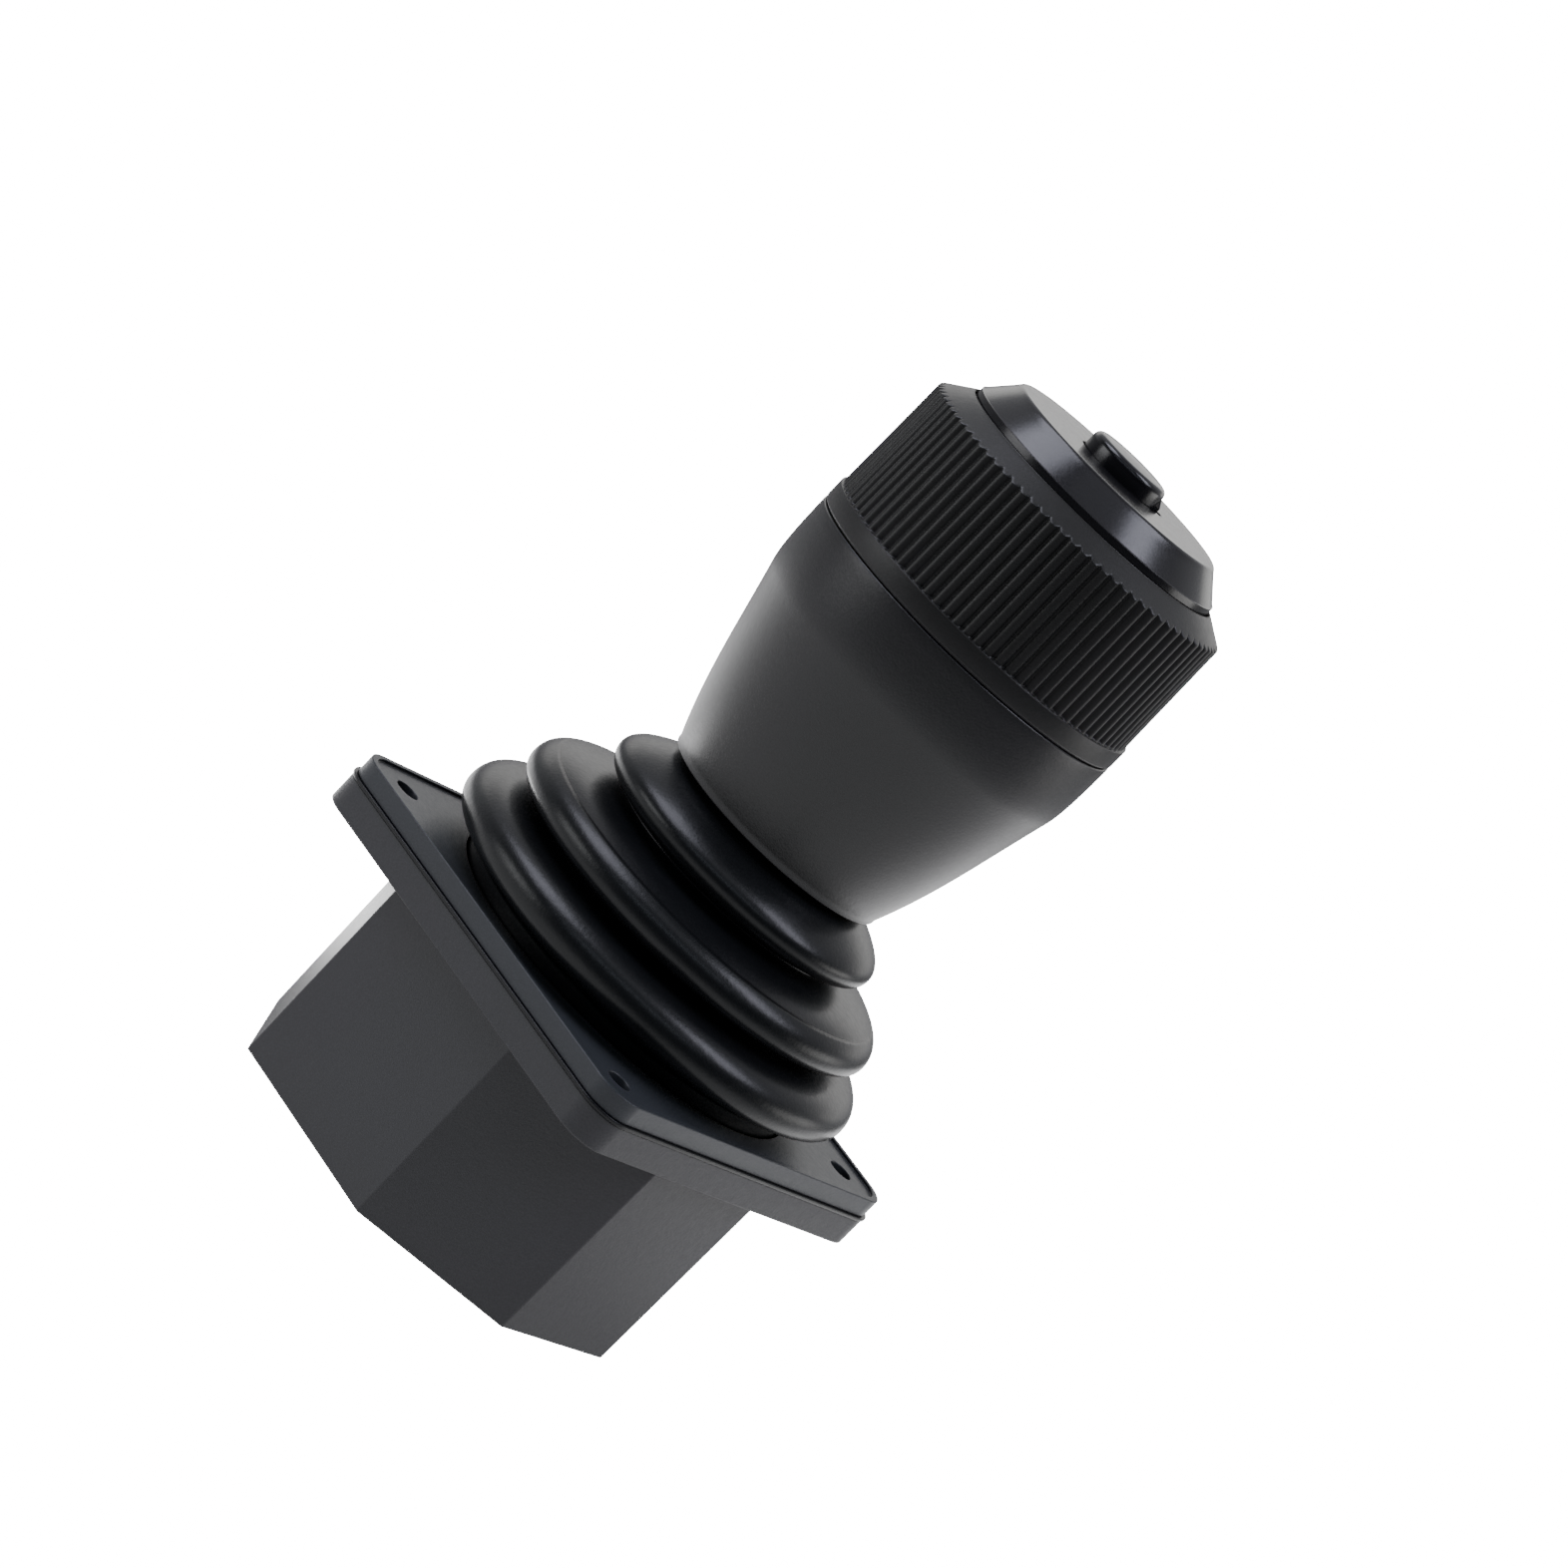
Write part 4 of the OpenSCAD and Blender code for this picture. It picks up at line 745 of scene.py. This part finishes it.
def buildRing(g):
    inner = g["radius"] - g["wall"]
    crest = np.stack([np.linspace(g["crestLow"], g["crestHigh"], g["crestRows"]),
                      np.linspace(g["ribLow"] + g["crestEnds"][0], g["ribHigh"] - g["crestEnds"][1],
                                  g["crestRows"])], axis=1)
    shoulderTop = np.array(g["shoulder"])
    shoulderFoot = np.array([g["crestHigh"], g["ribHigh"]])
    share = np.concatenate([np.linspace(*rows) for rows in g["shoulderRows"]])[:, None]
    inset = g["runIn"][0]
    band = roundCorners(
        [(inner, g["innerHeights"][0]), (inner, g["register"][1]), g["register"],
         (g["register"][0], g["foot"]), (g["radius"], g["foot"]), (g["radius"], g["ribLow"]),
         (g["crestLow"] - inset, g["ribLow"] + inset)],
        [0, 0.15, 0.1, 0.03, g["edge"], 0.12, 0])
    inside = [(g["lip"], g["capWell"][1]), g["capWell"], (g["capWell"][0], g["capFloor"][0]),
              (inner, g["capFloor"][1]), (inner, g["web"][1]), (g["bore"], g["web"][1]),
              (g["bore"], g["hub"][1]), g["hub"], (g["hub"][0], g["web"][0]), (inner, g["web"][0]),
              (inner, g["innerHeights"][1])]
    rim = roundCorners(
        [shoulderTop - (g["shoulderInset"], 0), shoulderTop, (g["lip"], g["shoulder"][1] - g["lipDrop"])]
        + inside, [0, 0.12, 0.1] + [0] * len(inside))[1:]
    section = np.concatenate([
        band, np.array([[g["crestLow"], g["ribLow"] + z] for z in g["startRows"]]), crest,
        shoulderFoot + share * (shoulderTop - shoulderFoot), rim])

    def groove(radius, height, angle):
        # the ribs' surface: crest radius less a rounded triangle wave of the angle; the body is
        # the softened smaller of that and its own profile: with h = the clamped half plus half their
        # difference over the softness, it is mixed by h and sinks by softness times h (1 - h)
        phase = np.abs(((angle * g["ribs"] / (2 * np.pi)) % 1.0) * 2 - 1)
        z = height / mm
        crestAt = np.interp(z, [g["ribLow"], g["ribHigh"]], [g["crestLow"], g["crestHigh"]]) * mm
        rise = np.clip((z - g["ribLow"] - g["runIn"][0]) / g["runIn"][1], 0, 1)
        ribbed = crestAt - g["depth"] * mm * rise * (phase ** g["sharpness"])[None]
        soft = g["soft"] * mm
        h = np.clip(0.5 + 0.5 * (radius - ribbed) / soft, 0, 1)
        smaller = radius * (1 - h) + ribbed * h - soft * h * (1 - h)
        outside = (radius > g["ribbedBeyond"] * mm) & (z > g["ribLow"] + g["runIn"][0] / 2)
        return np.where(outside, smaller, radius)

    piece = revolve("ribbedRing", section * mm, g["ribs"] * g["perRib"], groove)
    finishPiece(piece, "ring", ["twist_ring"], materials["ring_plastic"])


buildRing(ring)
print("stage: twist ring")


# Cap and button.

key = {"at": 30.0, "width": 1.0, "out": 0.6, "gap": 0.3, "flank": 0.16}
cap = {
    "foot": (18.85, 86.8), "lip": 89.2, "coneFoot": 18.72, "coneTop": (16.1, 92.15), "flat": (15.6, 92.8),
    "flatRows": (1.3, 1.6, 1.0),      # rows beyond the hole, and one before the flat's edge
    "hole": 5.9, "under": 91.2, "well": 7.5, "join": (0.3, 0.1), "columns": 360,
    "skirt": 2.2, "skirtTop": 89.5, "collar": 8.8, "collarFoot": 86.8,
}
button = {
    "radius": 5.6, "top": 95.2, "dome": 95.5, "domeRadius": 1.5, "round": 1.7,
    "flange": (7.2, 89.7, 90.9), "stem": (2.5, 84.7), "pole": 0.001, "columns": 240,
}


def keyBump(angle, halfWidth, radius):
    # 1 inside the key's width and 0 outside, with a short smooth flank
    away = np.abs((angle - math.radians(key["at"]) + np.pi) % (2 * np.pi) - np.pi) * radius
    t = np.clip((halfWidth + key["flank"] / 2 - away) / key["flank"], 0, 1)
    return t * t * (3 - 2 * t)


def buildCap(g):
    flatTop, inside = g["flat"][1], g["foot"][0] - g["skirt"]
    section = roundCorners(
        [(g["well"], g["under"]), (g["hole"], g["under"]), (g["hole"], flatTop),
         (g["hole"] + g["flatRows"][0], flatTop), (g["hole"] + g["flatRows"][1], flatTop),
         (g["flat"][0] - g["flatRows"][2], flatTop), g["flat"], g["coneTop"],
         (g["coneFoot"], g["lip"] + 0.02), (g["foot"][0], g["lip"]), g["foot"],
         (inside, g["foot"][1]), (inside, g["skirtTop"]), (g["collar"], g["skirtTop"]),
         (g["collar"], g["collarFoot"]), (g["well"], g["collarFoot"]), (g["well"], g["under"] - g["join"][0])],
        [0, 0.15, 0.2, 0, 0, 0, 0.6, 0.6, 0.45, 0.3, 0.25, 0.2, 0.3, 0.2, 0.2, 0.2, 0], steps=8)
    section = np.concatenate([section, [[g["well"], g["under"] - g["join"][1]]]])

    def notch(radius, height, angle):
        # the key's slot: points on the hole's wall move out to the slot's end
        reach = key["out"] + key["gap"]
        beyond = g["hole"] + reach
        near = np.clip((beyond - radius / mm) / reach, 0, 1) * (radius < beyond * mm)
        return radius + near * reach * mm * keyBump(angle, key["width"] / 2 + key["gap"], g["hole"])[None]

    piece = revolve("glossCap", section[::-1] * mm, g["columns"], notch)
    finishPiece(piece, "stick", ["cap"], materials["cap_plastic"])


def buildButton(g):
    stemRadius, stemFoot = g["stem"]
    flangeRadius, flangeFoot, flangeTop = g["flange"]
    section = roundCorners(
        [(g["pole"], stemFoot), g["stem"], (stemRadius, flangeFoot), (flangeRadius, flangeFoot),
         (flangeRadius, flangeTop), (g["radius"], flangeTop),
         (g["radius"], g["top"] - g["round"] - 0.3), (g["radius"], g["top"]), (g["domeRadius"], g["dome"]),
         (g["pole"], g["dome"])],
        [0, 0.2, 0.2, 0.2, 0.2, 0.2, 0.1, g["round"], 1.2, 0], steps=9)

    def nub(radius, height, angle):
        # the key stands out of the side, up to just under the rounded edge
        onSide = (np.abs(radius / mm - g["radius"]) < 0.02) & (height / mm < g["top"] - g["round"])
        return radius + onSide * key["out"] * mm * keyBump(angle, key["width"] / 2, g["radius"])[None]

    piece = revolve("glossButton", section * mm, g["columns"], nub)
    finishPiece(piece, "button", ["push_button"], materials["cap_plastic"])


buildCap(cap)
buildButton(button)
print("stage: cap and button")
